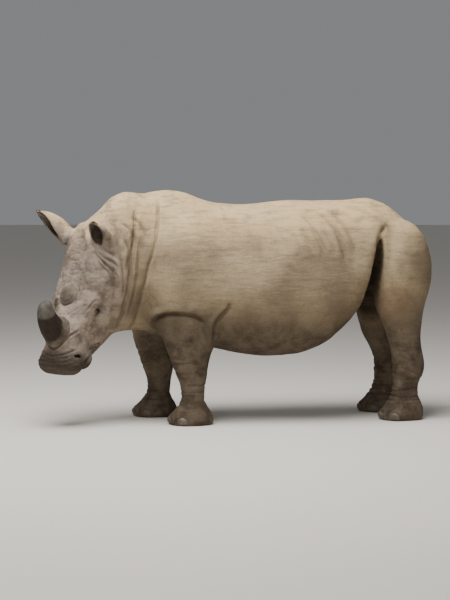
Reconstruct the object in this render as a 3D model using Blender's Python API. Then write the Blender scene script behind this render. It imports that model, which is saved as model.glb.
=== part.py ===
"""A still, life-size white rhinoceros: a body parted into named pieces, with eyes, horns and nails.

Metres, +Z up, the floor at z = 0. The animal faces -Y and its left side is +X. The shape is
worked out in a working frame whose origin is under the belly, and is then moved by SHIFT so that
the origin lies under the middle of its box. The flesh is lofted from stations and ellipsoids,
joined into one closed body, smoothed where they meet and parted by thin flat cuts. Eyes, horns
and nails stand in pockets of their own shape.
"""

import math

import bmesh
import bpy
from mathutils import Matrix, Vector

GAP = 0.0003            # clearance between pieces that touch
VOXEL = 0.011           # fineness of the joined body before it is thinned
SMOOTHING = 10          # passes that melt the creases where shapes meet
BODY_TRIANGLES = 3040   # what the joined body is thinned to, about
RING = 40               # points round a lofted section
HORN_RING = 18          # and round a horn
SHIFT = Vector((0.0, 0.3357, 0.0))

HEAD_PLACE = Vector((0.12, -1.481, 1.477))   # the crown, between the ears
HEAD_YAW = math.radians(45)                  # turned towards the animal's left
HEAD_PITCH = math.radians(65)                # the face line's fall below the level

# Trunk and neck: y, middle x, top, bottom, height of the widest level, half width
TRUNK = (
    (-1.46, 0.115, 1.480, 0.880, 1.18, 0.205),
    (-1.36, 0.085, 1.612, 0.780, 1.17, 0.250),
    (-1.25, 0.058, 1.720, 0.728, 1.15, 0.280),
    (-1.15, 0.036, 1.757, 0.710, 1.12, 0.305),
    (-1.02, 0.015, 1.742, 0.695, 1.10, 0.340),
    (-0.94, 0.007, 1.755, 0.660, 1.08, 0.365),
    (-0.82, 0.0, 1.765, 0.645, 1.05, 0.405),
    (-0.70, 0.0, 1.747, 0.620, 1.03, 0.425),
    (-0.60, 0.0, 1.708, 0.592, 1.00, 0.435),
    (-0.45, 0.0, 1.665, 0.548, 0.98, 0.455),
    (-0.26, 0.0, 1.652, 0.505, 0.95, 0.480),
    (-0.08, 0.0, 1.664, 0.482, 0.93, 0.500),
    (0.15, 0.0, 1.685, 0.492, 0.94, 0.505),
    (0.35, 0.0, 1.680, 0.565, 0.99, 0.498),
    (0.50, 0.0, 1.683, 0.675, 1.06, 0.482),
    (0.62, 0.0, 1.692, 0.810, 1.18, 0.455),
    (0.72, 0.0, 1.700, 0.980, 1.32, 0.415),
    (0.84, 0.0, 1.668, 1.000, 1.33, 0.374),
    (0.96, 0.0, 1.588, 1.000, 1.28, 0.338),
    (1.05, 0.0, 1.508, 1.000, 1.22, 0.286),
    (1.12, 0.0, 1.410, 1.010, 1.18, 0.200),
    (1.165, 0.0, 1.310, 1.040, 1.16, 0.110),
)
TRUNK_POWER = (2.0, 2.1)        # roundness of a section above and below its widest level

# Legs: height, half depth, half width
FRONT_LEG = (
    (0.00, 0.165, 0.146), (0.03, 0.172, 0.154), (0.09, 0.147, 0.140), (0.14, 0.112, 0.120),
    (0.20, 0.087, 0.102), (0.27, 0.090, 0.102), (0.36, 0.112, 0.112), (0.48, 0.144, 0.128),
    (0.60, 0.182, 0.145), (0.74, 0.215, 0.156), (0.88, 0.225, 0.160), (1.04, 0.205, 0.160),
    (1.20, 0.150, 0.150),
)
HIND_LEG = (
    (0.00, 0.160, 0.136), (0.03, 0.168, 0.144), (0.09, 0.155, 0.132), (0.14, 0.128, 0.115),
    (0.20, 0.103, 0.100), (0.27, 0.098, 0.098), (0.34, 0.116, 0.104), (0.44, 0.124, 0.110),
    (0.55, 0.120, 0.114), (0.66, 0.131, 0.124), (0.78, 0.160, 0.144), (0.90, 0.190, 0.167),
    (1.02, 0.200, 0.185), (1.15, 0.195, 0.190), (1.30, 0.165, 0.170),
)
LEG_POWER = 2.25
# The line each leg's sections are strung on: height, x, y
LEG_LINES = {
    "front_left": ((0.0, 0.285, -0.696), (0.14, 0.283, -0.680), (0.27, 0.278, -0.676),
                   (0.48, 0.270, -0.697), (0.72, 0.260, -0.710), (1.20, 0.240, -0.705)),
    "front_right": ((0.0, -0.265, -0.894), (0.14, -0.263, -0.870), (0.27, -0.260, -0.857),
                    (0.48, -0.260, -0.872), (0.72, -0.260, -0.866), (1.20, -0.240, -0.730)),
    "hind_left": ((0.0, 0.280, 0.944), (0.14, 0.280, 0.972), (0.27, 0.276, 0.983),
                  (0.40, 0.273, 1.008), (0.66, 0.262, 0.969), (0.90, 0.250, 0.940),
                  (1.30, 0.220, 0.965)),
    "hind_right": ((0.0, -0.262, 0.911), (0.14, -0.262, 0.952), (0.27, -0.262, 0.975),
                   (0.40, -0.262, 0.998), (0.66, -0.258, 0.893), (0.90, -0.248, 0.880),
                   (1.30, -0.220, 0.965)),
}
# Toes: place from the foot's middle (aside, forward, height), half sizes
TOES = (
    ((0.0, 0.096, 0.040), (0.072, 0.074, 0.058)),
    ((0.092, 0.042, 0.036), (0.060, 0.074, 0.052)),
    ((-0.092, 0.042, 0.036), (0.060, 0.074, 0.052)),
)

# Head: along the face from the crown; depths below the face line of the top, the bottom and the
# widest level; half width; roundness above and below
SKULL = (
    (-0.12, 0.10, 0.47, 0.26, 0.140, 2.2, 2.0),
    (-0.04, 0.02, 0.51, 0.26, 0.178, 2.4, 2.0),
    (0.05, 0.00, 0.54, 0.26, 0.205, 2.6, 2.0),
    (0.18, 0.012, 0.575, 0.26, 0.215, 2.8, 2.0),
    (0.32, 0.032, 0.60, 0.26, 0.212, 3.0, 2.0),
    (0.45, 0.042, 0.605, 0.25, 0.202, 3.0, 2.0),
    (0.57, 0.040, 0.585, 0.24, 0.186, 2.8, 2.0),
    (0.68, 0.025, 0.555, 0.225, 0.163, 2.5, 2.1),
    (0.78, 0.012, 0.490, 0.21, 0.146, 2.4, 2.2),
    (0.87, 0.018, 0.415, 0.20, 0.142, 2.4, 2.3),
    (0.94, 0.036, 0.345, 0.20, 0.152, 2.6, 2.5),
    (1.00, 0.056, 0.298, 0.19, 0.164, 3.0, 2.6),
    (1.05, 0.074, 0.258, 0.18, 0.166, 3.2, 2.6),
    (1.085, 0.092, 0.225, 0.165, 0.152, 3.0, 2.6),
    (1.102, 0.124, 0.192, 0.158, 0.115, 2.6, 2.4),
)
# Masses of the head, on both sides: (along, aside, below), half sizes in that order
HEAD_MASSES = (
    ((0.50, 0.150, 0.125), (0.110, 0.048, 0.055)),      # brow
    ((0.40, 0.160, 0.280), (0.170, 0.052, 0.065)),      # cheek bone
    ((0.40, 0.105, 0.440), (0.170, 0.085, 0.135)),      # jaw muscle
    ((0.815, 0.0, 0.085), (0.130, 0.125, 0.075)),       # nose boss
    ((0.965, 0.112, 0.158), (0.075, 0.060, 0.068)),     # nostril pad
    ((1.030, 0.088, 0.145), (0.052, 0.086, 0.072)),     # upper lip
    ((0.935, 0.080, 0.300), (0.080, 0.080, 0.050)),     # lower lip
)
# Masses of the body, on both sides: centre, half sizes
BODY_MASSES = (
    ((0.27, -0.74, 1.10), (0.175, 0.27, 0.42)),         # shoulder
    ((0.25, -0.66, 0.78), (0.175, 0.19, 0.20)),         # upper arm
    ((0.235, 0.965, 1.17), (0.200, 0.215, 0.36)),       # thigh
    ((0.16, 0.99, 1.12), (0.15, 0.185, 0.30)),          # buttock
)
# Tail: y, z and radius down its middle line, x = 0
TAIL = (
    (1.04, 1.41, 0.050), (1.105, 1.35, 0.048), (1.145, 1.26, 0.042), (1.162, 1.12, 0.034),
    (1.155, 0.98, 0.027), (1.120, 0.86, 0.023), (1.080, 0.77, 0.018),
)

EAR_LENGTH = 0.29
# By share of an ear's length: radius of the roll, half its sweep in degrees, wall
EAR_ROLL = (
    (0.0, 0.052, 160, 0.018), (0.20, 0.060, 152, 0.014), (0.42, 0.066, 132, 0.011),
    (0.62, 0.061, 112, 0.010), (0.80, 0.047, 96, 0.009), (0.93, 0.028, 84, 0.008),
    (1.0, 0.010, 76, 0.006),
)
EAR_ROOT = 0.02         # how deep the leaf starts in its fleshy root
EAR_BEND = 0.05         # how far the tip leans over the mouth
# Place of each base on the head, then the way the ear points and the way it opens, each as
# shares of the head's left, the way it faces on the level, and straight up
EARS = {
    "left": ((0.095, 0.182, 0.065), (0.26, 0.67, 0.69), (0.05, 0.94, -0.30)),
    "right": ((0.050, -0.165, 0.030), (-0.64, 0.30, 0.74), (-0.50, 0.80, -0.25)),
}

EYE_RADIUS = 0.021
EYE = (0.585, 0.192)            # along the face and below the face line
EYE_DEPTH = 0.011               # of its middle below the skin

# Horn stubs: place on the face, lean back towards the crown, then height, half length, half width
FRONT_HORN_PLACE = (0.815, 0.0, 0.030)
FRONT_HORN_LEAN = math.radians(33)
FRONT_HORN = (
    (-0.045, 0.125, 0.108), (0.0, 0.125, 0.108), (0.035, 0.112, 0.097), (0.10, 0.094, 0.082),
    (0.18, 0.076, 0.067), (0.235, 0.062, 0.055), (0.262, 0.046, 0.042), (0.274, 0.022, 0.020),
)
REAR_HORN_PLACE = (0.520, 0.0, 0.046)
REAR_HORN_LEAN = math.radians(4)
REAR_HORN = (
    (-0.040, 0.100, 0.088), (0.0, 0.100, 0.088), (0.022, 0.094, 0.082), (0.040, 0.076, 0.066),
    (0.050, 0.045, 0.040), (0.053, 0.018, 0.016),
)

NAIL_SWEEP = (50, 44, 44)   # half width of each toe's nail, in degrees about the toe
NAIL_HEIGHT = 0.066
NAIL_ARC = 0.35             # share of its height that a nail loses at its sides
NAIL_WALL = 0.014
NAIL_RISE = 0.006           # clear of the floor
NAIL_PROUD = 0.003          # out of its toe
NAIL_FACING = 48            # how far the side toes' nails turn outwards, in degrees

CUT_YAW = math.radians(22)  # turn of the cuts before and behind the neck

SKIN = ("hide", (0.28, 0.235, 0.185, 1.0), 0.88)
HORN = ("horn", (0.105, 0.080, 0.060, 1.0), 0.62)
NAIL = ("nail", (0.150, 0.130, 0.110, 1.0), 0.55)
EYE_FINISH = ("eye", (0.020, 0.012, 0.008, 1.0), 0.08)

X, Y, Z = Vector((1, 0, 0)), Vector((0, 1, 0)), Vector((0, 0, 1))


def head_axes():
    """Columns: along the face, the head's left, and out of the face."""
    level = ahead(HEAD_YAW)
    along = level * math.cos(HEAD_PITCH) - Z * math.sin(HEAD_PITCH)
    out = level * math.sin(HEAD_PITCH) + Z * math.cos(HEAD_PITCH)
    return along, Z.cross(level), out, level


def ahead(yaw):
    """The level direction of something that faces forward, turned by yaw towards the left."""
    return Vector((math.sin(yaw), -math.cos(yaw), 0))


ALONG, ASIDE, OUT, LEVEL = head_axes()


def on_head(along, aside, below):
    """A point of the head, from its place along the face, aside and below the face line."""
    return HEAD_PLACE + ALONG * along + ASIDE * aside - OUT * below


def read(table, at):
    """The table's other columns at a value of its first: cubics with slopes that don't overshoot."""
    rows = list(table)
    last = len(rows) - 2
    span = next((i for i in range(last + 1) if at <= rows[i + 1][0]), last)
    gaps = [b[0] - a[0] for a, b in zip(rows, rows[1:])]
    s = min(max((at - rows[span][0]) / gaps[span], 0.0), 1.0)

    def slope(i, column):
        rises = [(b[column] - a[column]) / g for a, b, g in zip(rows, rows[1:], gaps)]
        if i == 0 or i == len(rows) - 1:
            return rises[min(i, last)]
        before, after = rises[i - 1], rises[i]
        if before * after <= 0:
            return 0.0
        near, far = 2 * gaps[i] + gaps[i - 1], gaps[i] + 2 * gaps[i - 1]
        return (near + far) / (near / before + far / after)

    values = []
    for column in range(1, len(rows[0])):
        low, high = rows[span][column], rows[span + 1][column]
        start, end = slope(span, column) * gaps[span], slope(span + 1, column) * gaps[span]
        values.append((1 + 2 * s) * (1 - s) ** 2 * low + s * (1 - s) ** 2 * start
                      + s * s * (3 - 2 * s) * high + s * s * (s - 1) * end)
    return values


def section(middle, side, rise, width, top, bottom, power_top, power_bottom, count=RING):
    """A ring of a superellipse with its own height and roundness above and below its middle."""
    points = []
    for i in range(count):
        angle = 2 * math.pi * i / count
        across, up = math.cos(angle), math.sin(angle)
        height, power = (top, power_top) if up > 0 else (bottom, power_bottom)
        points.append(middle + side * math.copysign(abs(across) ** (2 / power) * width, across)
                      + rise * math.copysign(abs(up) ** (2 / power) * height, up))
    return points


def steps(table, spacing):
    """Values of a table's first column, evenly spaced from end to end."""
    start, end = table[0][0], table[-1][0]
    count = max(2, round((end - start) / spacing))
    return [start + (end - start) * i / count for i in range(count + 1)]


def join_rings(mesh, rings):
    """Bridges one ring of points to the next and closes both ends."""
    loops = [[mesh.verts.new(point) for point in ring] for ring in rings]
    for lower, upper in zip(loops, loops[1:]):
        for i in range(len(lower)):
            j = (i + 1) % len(lower)
            mesh.faces.new((lower[i], lower[j], upper[j], upper[i]))
    mesh.faces.new(reversed(loops[0]))
    mesh.faces.new(loops[-1])


def add_ellipsoid(mesh, centre, sizes, axes=(X, Y, Z)):
    """An ellipsoid whose half sizes lie along the given axes."""
    turn = Matrix([axis * size for axis, size in zip(axes, sizes)]).transposed().to_4x4()
    bmesh.ops.create_icosphere(mesh, subdivisions=3, radius=1,
                               matrix=Matrix.Translation(centre) @ turn)


def add_trunk(mesh):
    rings = []
    for y in steps(TRUNK, 0.03):
        x, top, bottom, middle, width = read(TRUNK, y)
        rings.append(section(Vector((x, y, middle)), X, Z,
                             width, top - middle, middle - bottom, *TRUNK_POWER))
    join_rings(mesh, rings)
    for (x, y, z), sizes in BODY_MASSES:
        for side in (1, -1):
            add_ellipsoid(mesh, Vector((x * side, y, z)), sizes)


def add_leg(mesh, name):
    """A leg, its toes, and a stretch below the floor that is cut off to leave a flat sole."""
    sections = FRONT_LEG if name.startswith("front") else HIND_LEG
    line = LEG_LINES[name]
    rings = []
    for z in [-2 * VOXEL, *steps(sections, 0.02)]:
        depth, width = read(sections, z)
        x, y = read(line, z)
        rings.append(section(Vector((x, y, z)), X, Y,
                             width, depth, depth, LEG_POWER, LEG_POWER))
    join_rings(mesh, rings)
    for place, sizes in TOES:
        add_ellipsoid(mesh, toe_place(name, place), sizes)


def toe_place(name, place):
    aside, forward, height = place
    _, x, y = LEG_LINES[name][0]
    return Vector((x + aside, y - forward, height))


def add_tail(mesh):
    rings = []
    for i in range(len(TAIL) * 4 - 3):
        y, z, radius = tail_point(i / 4)
        rings.append(section(Vector((0, y, z)), X, Vector((0, 1, 0.2)).normalized(),
                             radius, radius, radius, 2, 2))
    join_rings(mesh, rings)


def tail_point(at):
    numbered = [(i, *row) for i, row in enumerate(TAIL)]
    return read(numbered, at)


def add_head(mesh):
    rings = []
    for along in steps(SKULL, 0.02):
        top, bottom, middle, width, power_top, power_bottom = read(SKULL, along)
        rings.append(section(on_head(along, 0, middle), ASIDE, OUT, width,
                             middle - top, bottom - middle, power_top, power_bottom))
    join_rings(mesh, rings)
    for (along, aside, below), sizes in HEAD_MASSES:
        for side in (1, -1) if aside else (1,):
            add_ellipsoid(mesh, on_head(along, aside * side, below), sizes, (ALONG, ASIDE, OUT))


def ear_axes(name):
    """Base, then the way the ear points, opens and lies across."""
    base, point, mouth = EARS[name]
    base = on_head(*base)
    to_world = Matrix((ASIDE, LEVEL, Z)).transposed()
    point = (to_world @ Vector(point)).normalized()
    mouth = to_world @ Vector(mouth)
    mouth = (mouth - point * mouth.dot(point)).normalized()
    return base, point, mouth, point.cross(mouth)


def add_ear_root(mesh, name):
    """The fleshy root that joins an ear to the head."""
    base, point, mouth, across = ear_axes(name)
    add_ellipsoid(mesh, base + point * 0.01, (0.064, 0.060, 0.085), (mouth, across, point))


def new_object(name, mesh, finish):
    data = bpy.data.meshes.new(name)
    bmesh.ops.recalc_face_normals(mesh, faces=mesh.faces)
    mesh.to_mesh(data)
    mesh.free()
    made = bpy.data.objects.new(name, data)
    bpy.context.collection.objects.link(made)
    set_finish(made, finish)
    return made


def set_finish(made, finish):
    """Gives an object its own material: a name, a base colour and a roughness."""
    name, colour, roughness = finish
    material = bpy.data.materials.new(f"{made.name}_{name}")
    material.use_nodes = True
    shader = material.node_tree.nodes["Principled BSDF"]
    shader.inputs["Base Color"].default_value = colour
    shader.inputs["Roughness"].default_value = roughness
    shader.inputs["Metallic"].default_value = 0.0
    made.data.materials.clear()
    made.data.materials.append(material)


def apply_modifiers(made):
    """Bakes an object's modifiers into its mesh."""
    graph = bpy.context.evaluated_depsgraph_get()
    data = bpy.data.meshes.new_from_object(made.evaluated_get(graph))
    made.modifiers.clear()
    made.data = data


def boolean(made, other, operation):
    modifier = made.modifiers.new(operation.lower(), "BOOLEAN")
    modifier.operation = operation
    modifier.object = other
    apply_modifiers(made)


def make_body():
    """Every mass of flesh but the ears' leaves, as one smooth closed body with flat soles."""
    mesh = bmesh.new()
    add_trunk(mesh)
    for name in LEG_LINES:
        add_leg(mesh, name)
    add_tail(mesh)
    add_head(mesh)
    for name in EARS:
        add_ear_root(mesh, name)
    body = new_object("body", mesh, SKIN)
    remesh = body.modifiers.new("join", "REMESH")
    remesh.mode = "VOXEL"
    remesh.voxel_size = VOXEL
    smooth = body.modifiers.new("smooth", "SMOOTH")
    smooth.factor = 0.5
    smooth.iterations = SMOOTHING
    apply_modifiers(body)
    thin = body.modifiers.new("thin", "DECIMATE")
    thin.ratio = BODY_TRIANGLES / sum(len(face.vertices) - 2 for face in body.data.polygons)
    apply_modifiers(body)
    cut_soles(body)
    return body


def cut_soles(body):
    """Takes away what reaches below the floor, which leaves the soles flat."""
    mesh = bmesh.new()
    bmesh.ops.create_cube(mesh, size=1, matrix=Matrix.LocRotScale((0, 0, -0.5), None, (4, 6, 1)))
    ground = new_object("ground", mesh, SKIN)
    boolean(body, ground, "DIFFERENCE")
    remove(ground)


def make_ear(name):
    """The leaf of an ear: a roll that opens towards its mouth and narrows to a tip."""
    base, point, mouth, across = ear_axes(name)
    rows, columns = 9, 11
    walls = []
    for layer in (0.5, -0.5):
        grid = []
        for i in range(rows):
            share = 1 - (1 - i / (rows - 1)) ** 1.2
            radius, sweep, wall = read(EAR_ROLL, share)
            rise = share * (EAR_LENGTH + EAR_ROOT) - EAR_ROOT
            middle = base + point * rise + mouth * (EAR_BEND * share * share)
            row = []
            for j in range(columns):
                angle = math.radians(sweep) * (2 * j / (columns - 1) - 1)
                reach = radius + layer * wall
                row.append(middle - mouth * math.cos(angle) * reach
                           + across * math.sin(angle) * reach)
            grid.append(row)
        walls.append(grid)
    mesh = bmesh.new()
    join_walls(mesh, *walls)
    return new_object(f"ear_{name}", mesh, SKIN)


HEAD_FRAME = (HEAD_PLACE, (ALONG, -OUT, ASIDE))
CROWN_FRAME = (Vector((*HEAD_PLACE[:2], 0)), (ahead(CUT_YAW), Z, Z.cross(ahead(CUT_YAW))))
WORLD_YZ = (Vector(), (Y, Z, X))
WORLD_XZ = (Vector(), (X, Z, Y))


def leg_outline(side, inner, low_top, high_top):
    """A leg's block seen from the front: open below, its top rising outwards."""
    return [(side * inner, -0.1), (side * 0.7, -0.1), (side * 0.7, high_top), (side * inner, low_top)]


def ear_region(name):
    base, point, mouth, across = ear_axes(name)
    outline = [(0.045, -0.08), (0.045, 0.13), (0.4, 0.13), (0.4, -0.08)]
    return base, (point, mouth, across), outline, (-0.085, 0.085)


def foot_region(name):
    """A foot's block, from the floor to the narrow of the leg above it."""
    _, x, y = LEG_LINES[name][0]
    outline = [(-0.2, -0.05), (0.2, -0.05), (0.2, 0.165), (-0.2, 0.165)]
    return Vector((x, y, 0)), (X, Z, Y), outline, (-0.25, 0.22)


# The blocks that part the body, in the order of cutting: frame, outline, reach along the third axis
REGIONS = {
    "ear_left": ear_region("left"),
    "ear_right": ear_region("right"),
    "lower_jaw": (*HEAD_FRAME, [(0.66, 0.40), (1.25, 0.18), (1.25, 0.8), (0.66, 0.8)], (-0.4, 0.4)),
    "head": (*CROWN_FRAME, [(-0.3, 0.2), (1.5, 0.2), (1.5, 2.0), (0.113, 2.0), (-0.389, 0.728)],
             (-0.5, 0.5)),
    "neck": (*CROWN_FRAME, [(-0.42, 0.5), (1.0, 0.5), (1.0, 1.95), (-0.62, 1.95)], (-0.7, 0.7)),
    "tail": (*WORLD_YZ, [(1.165, 0.6), (1.5, 0.6), (1.5, 1.36), (1.165, 1.36)], (-0.075, 0.075)),
    **{f"foot_{name}": foot_region(name) for name in LEG_LINES},
    "leg_front_left": (*WORLD_XZ, leg_outline(1, 0.085, 0.64, 0.90), (-0.955, -0.50)),
    "leg_front_right": (*WORLD_XZ, leg_outline(-1, 0.085, 0.64, 0.90), (-1.12, -0.63)),
    "leg_hind_left": (*WORLD_XZ, leg_outline(1, 0.05, 0.97, 1.16), (0.735, 1.30)),
    "leg_hind_right": (*WORLD_XZ, leg_outline(-1, 0.05, 0.97, 1.16), (0.68, 1.30)),
    "trunk_shoulders": (*WORLD_YZ, [(-1.4, 0.3), (-0.44, 0.3), (-0.50, 2.0), (-1.4, 2.0)], (-0.8, 0.8)),
    "trunk_rump": (*WORLD_YZ, [(0.735, 0.3), (1.5, 0.3), (1.5, 2.0), (0.70, 2.0)], (-0.8, 0.8)),
}


def ring_of_horn(place, lean, table, at, grow):
    """A ring of a horn stub at a height: its path bends back towards the crown as it rises."""
    tall = table[-1][0]
    length, width = read(table, at)
    share = max(at, 0.0) / tall
    swept = lean * (0.6 * share + 0.4 * share * share)
    path = (OUT * math.cos(swept) - ALONG * math.sin(swept)) * at
    face = lean * (0.6 + 0.8 * share) * min(1.0, share * 3)
    out = OUT * math.cos(face) - ALONG * math.sin(face)
    return section(on_head(*place) + path, out.cross(ASIDE), ASIDE, length + grow, width + grow,
                   width + grow, 2, 2, HORN_RING)


def make_horn(name, place, lean, table, grow=0.0):
    """A horn stub whose root stands in the head."""
    mesh = bmesh.new()
    heights = [table[0][0] - grow, *steps(table, 0.045)[1:-1], table[-1][0]]
    join_rings(mesh, [ring_of_horn(place, lean, table, at, grow) for at in heights])
    return new_object(name, mesh, HORN)


def make_nail(name, leg, toe, grow=0.0):
    """A curved nail on the front of a toe, flat below, its upper edge an arc."""
    (aside, forward, height), (wide, deep, tall) = TOES[toe]
    centre = toe_place(leg, (aside, forward, height))
    facing = math.radians(NAIL_FACING) * (0 if toe == 0 else math.copysign(1, aside))
    sweep = math.radians(NAIL_SWEEP[toe])
    rows, columns = 3, 5
    walls = []
    for inset in (-NAIL_PROUD - grow, NAIL_WALL + grow):
        wall = []
        for i in range(rows):
            row = []
            for j in range(columns):
                across = 2 * j / (columns - 1) - 1
                top = NAIL_HEIGHT * (1 - NAIL_ARC * across * across)
                z = NAIL_RISE + (top - NAIL_RISE) * i / (rows - 1)
                reach = math.sqrt(1 - ((z - height) / tall) ** 2)
                turn = facing + across * sweep + outward(j, columns) * grow / wide
                z += outward(i, rows) * grow
                row.append(mesh_point(centre, turn, wide * reach - inset, deep * reach - inset, z))
            wall.append(row)
        walls.append(wall)
    mesh = bmesh.new()
    join_walls(mesh, *walls)
    return new_object(name, mesh, NAIL)


def outward(index, count):
    """-1 on the first of a row, 1 on the last and 0 between."""
    return (index == count - 1) - (index == 0)


def mesh_point(centre, turn, wide, deep, z):
    return Vector((centre.x + math.sin(turn) * wide, centre.y - math.cos(turn) * deep, z))


def join_walls(mesh, outer, inner):
    """Closes two like grids of points into one solid plate."""
    front = [[mesh.verts.new(point) for point in row] for row in outer]
    back = [[mesh.verts.new(point) for point in row] for row in inner]
    rows, columns = len(front), len(front[0])
    for i in range(rows - 1):
        for j in range(columns - 1):
            near, far = [(wall[i][j], wall[i][j + 1], wall[i + 1][j + 1], wall[i + 1][j])
                         for wall in (front, back)]
            add_halves(mesh, *near)
            add_halves(mesh, *reversed(far))
    edge = [(0, j) for j in range(columns)] + [(i, columns - 1) for i in range(1, rows)]
    edge += [(rows - 1, j) for j in range(columns - 2, -1, -1)]
    edge += [(i, 0) for i in range(rows - 2, 0, -1)]
    for (i, j), (k, m) in zip(edge, edge[1:] + edge[:1]):
        add_halves(mesh, front[k][m], front[i][j], back[i][j], back[k][m])


def add_halves(mesh, a, b, c, d):
    """A four-sided face as two triangles, always split the same way."""
    mesh.faces.new((a, b, c))
    mesh.faces.new((a, c, d))


def make_eye(name, side, body, grow=0.0):
    """An eyeball, set a little below the skin straight in from the side of the head."""
    along, below = EYE
    _, hit, _, _ = body.ray_cast(on_head(along, side * 0.5, below), -ASIDE * side)
    mesh = bmesh.new()
    bmesh.ops.create_icosphere(mesh, subdivisions=2, radius=EYE_RADIUS + grow,
                               matrix=Matrix.Translation(hit - ASIDE * side * EYE_DEPTH))
    return new_object(name, mesh, EYE_FINISH)


def make_region(name, grow):
    """A convex block of space: an outline in two directions, drawn out along a third."""
    origin, axes, outline, reach = REGIONS[name]
    corners = [(a, b, c) for a, b in outline for c in reach]
    middle = [sum(corner[i] for corner in corners) / len(corners) for i in range(3)]
    mesh = bmesh.new()
    for corner in corners:
        place = [v + grow * math.copysign(1, v - m) for v, m in zip(corner, middle)]
        mesh.verts.new(origin + sum((axis * v for axis, v in zip(axes, place)), Vector()))
    bmesh.ops.convex_hull(mesh, input=mesh.verts)
    return new_object(f"region_{name}", mesh, SKIN)


def remove(made):
    bpy.data.objects.remove(made)


def pocket(body, cutter):
    """Hollows the body for a piece that stands in it, and throws the cutter away."""
    boolean(body, cutter, "DIFFERENCE")
    remove(cutter)


def drop_crumbs(made):
    """Keeps only an object's largest body, where a cut has left crumbs beside it."""
    mesh = bmesh.new()
    mesh.from_mesh(made.data)
    unseen = set(mesh.verts)
    bodies = []
    while unseen:
        edge = [unseen.pop()]
        found = set(edge)
        while edge:
            for link in edge.pop().link_edges:
                for vert in link.verts:
                    if vert in unseen:
                        unseen.remove(vert)
                        found.add(vert)
                        edge.append(vert)
        bodies.append(found)
    largest = max(bodies, key=len)
    crumbs = [vert for body in bodies if body is not largest for vert in body]
    bmesh.ops.delete(mesh, geom=crumbs, context="VERTS")
    mesh.to_mesh(made.data)
    mesh.free()


def part_off(body, name):
    """Cuts one named piece out of the body, leaving a thin gap round it."""
    piece = body.copy()
    piece.data = body.data.copy()
    piece.name = name
    bpy.context.collection.objects.link(piece)
    inside, around = make_region(name, -GAP), make_region(name, 0.0)
    boolean(piece, inside, "INTERSECT")
    boolean(body, around, "DIFFERENCE")
    remove(inside)
    remove(around)
    drop_crumbs(piece)
    drop_crumbs(body)
    return piece


def tidy(made):
    """Triangulates, shades smooth and gives the piece its final place."""
    mesh = bmesh.new()
    mesh.from_mesh(made.data)
    bmesh.ops.triangulate(mesh, faces=mesh.faces)
    bmesh.ops.translate(mesh, verts=mesh.verts, vec=SHIFT)
    mesh.to_mesh(made.data)
    mesh.free()
    made.data.shade_smooth()
    made.data.set_sharp_from_angle(angle=math.radians(40))


def main():
    for old in list(bpy.data.objects):
        bpy.data.objects.remove(old)
    body = make_body()
    for name in EARS:
        leaf = make_ear(name)
        boolean(body, leaf, "UNION")
        remove(leaf)
    pieces = []
    horns = {"horn_front": (FRONT_HORN_PLACE, FRONT_HORN_LEAN, FRONT_HORN),
             "horn_rear": (REAR_HORN_PLACE, REAR_HORN_LEAN, REAR_HORN)}
    for name, shape in horns.items():
        pocket(body, make_horn(f"{name}_pocket", *shape, grow=GAP))
        pieces.append(make_horn(name, *shape))
    for name, side in (("eye_left", 1), ("eye_right", -1)):
        eye, hollow = make_eye(name, side, body), make_eye(f"{name}_pocket", side, body, grow=GAP)
        pocket(body, hollow)
        pieces.append(eye)
    for leg in LEG_LINES:
        for toe in range(len(TOES)):
            pocket(body, make_nail(f"nail_{leg}_{toe + 1}_pocket", leg, toe, grow=GAP))
            pieces.append(make_nail(f"nail_{leg}_{toe + 1}", leg, toe))
    for name in REGIONS:
        pieces.append(part_off(body, name))
    body.name = "trunk_barrel"
    pieces.append(body)
    for piece in pieces:
        if piece is body or piece.name in REGIONS:
            set_finish(piece, SKIN)
        tidy(piece)


main()
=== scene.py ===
"""A white rhinoceros as a still, life-size model: its skin, eyes, horns, nails, bristles and lashes.

Metres, +Z up, the floor at z = 0. The animal faces -Y, its left side is +X, and its head is
turned to its left. Shapes are worked out in a working frame under the belly, and SHIFT moves
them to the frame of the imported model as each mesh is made.

The skin is one surface: every mass of flesh is a distance in space, the masses are melted into
one field, and a net of quads is drawn over the place where the field is zero. Folds are then
pressed in along curves that lie on the skin. All other pieces are grids of two parameters.
"""

import itertools
import math
from functools import partial

import bmesh
import bpy
import numpy as np
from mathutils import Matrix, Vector


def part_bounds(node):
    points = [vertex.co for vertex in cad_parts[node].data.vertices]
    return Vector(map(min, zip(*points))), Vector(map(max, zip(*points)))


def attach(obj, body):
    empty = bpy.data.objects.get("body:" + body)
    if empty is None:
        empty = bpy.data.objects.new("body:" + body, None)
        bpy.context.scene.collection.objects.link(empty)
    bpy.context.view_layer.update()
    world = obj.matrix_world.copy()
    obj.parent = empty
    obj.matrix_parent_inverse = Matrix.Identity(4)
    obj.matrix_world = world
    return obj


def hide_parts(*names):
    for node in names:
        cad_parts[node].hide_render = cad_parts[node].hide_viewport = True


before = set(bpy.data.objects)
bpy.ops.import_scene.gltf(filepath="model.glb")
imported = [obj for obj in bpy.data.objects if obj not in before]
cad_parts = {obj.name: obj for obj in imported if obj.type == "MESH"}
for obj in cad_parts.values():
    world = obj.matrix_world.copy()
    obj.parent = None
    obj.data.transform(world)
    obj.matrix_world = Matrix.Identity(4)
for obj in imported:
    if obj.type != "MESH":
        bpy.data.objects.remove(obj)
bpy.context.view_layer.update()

bl_info = {
    "name": "White Rhinoceros",
    "version": (1, 0, 0),
    "blender": (4, 5, 0),
    "location": "3D View > Sidebar > Rhinoceros",
    "description": "A still, life-size white rhinoceros with folded skin, eyes, horns and nails",
    "category": "Add Mesh",
}

SHIFT = np.array((0.0, 0.3357, 0.0))    # from the working frame to the model's own


# ---- Stations and masses of the flesh ------------------------------------------------------

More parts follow.
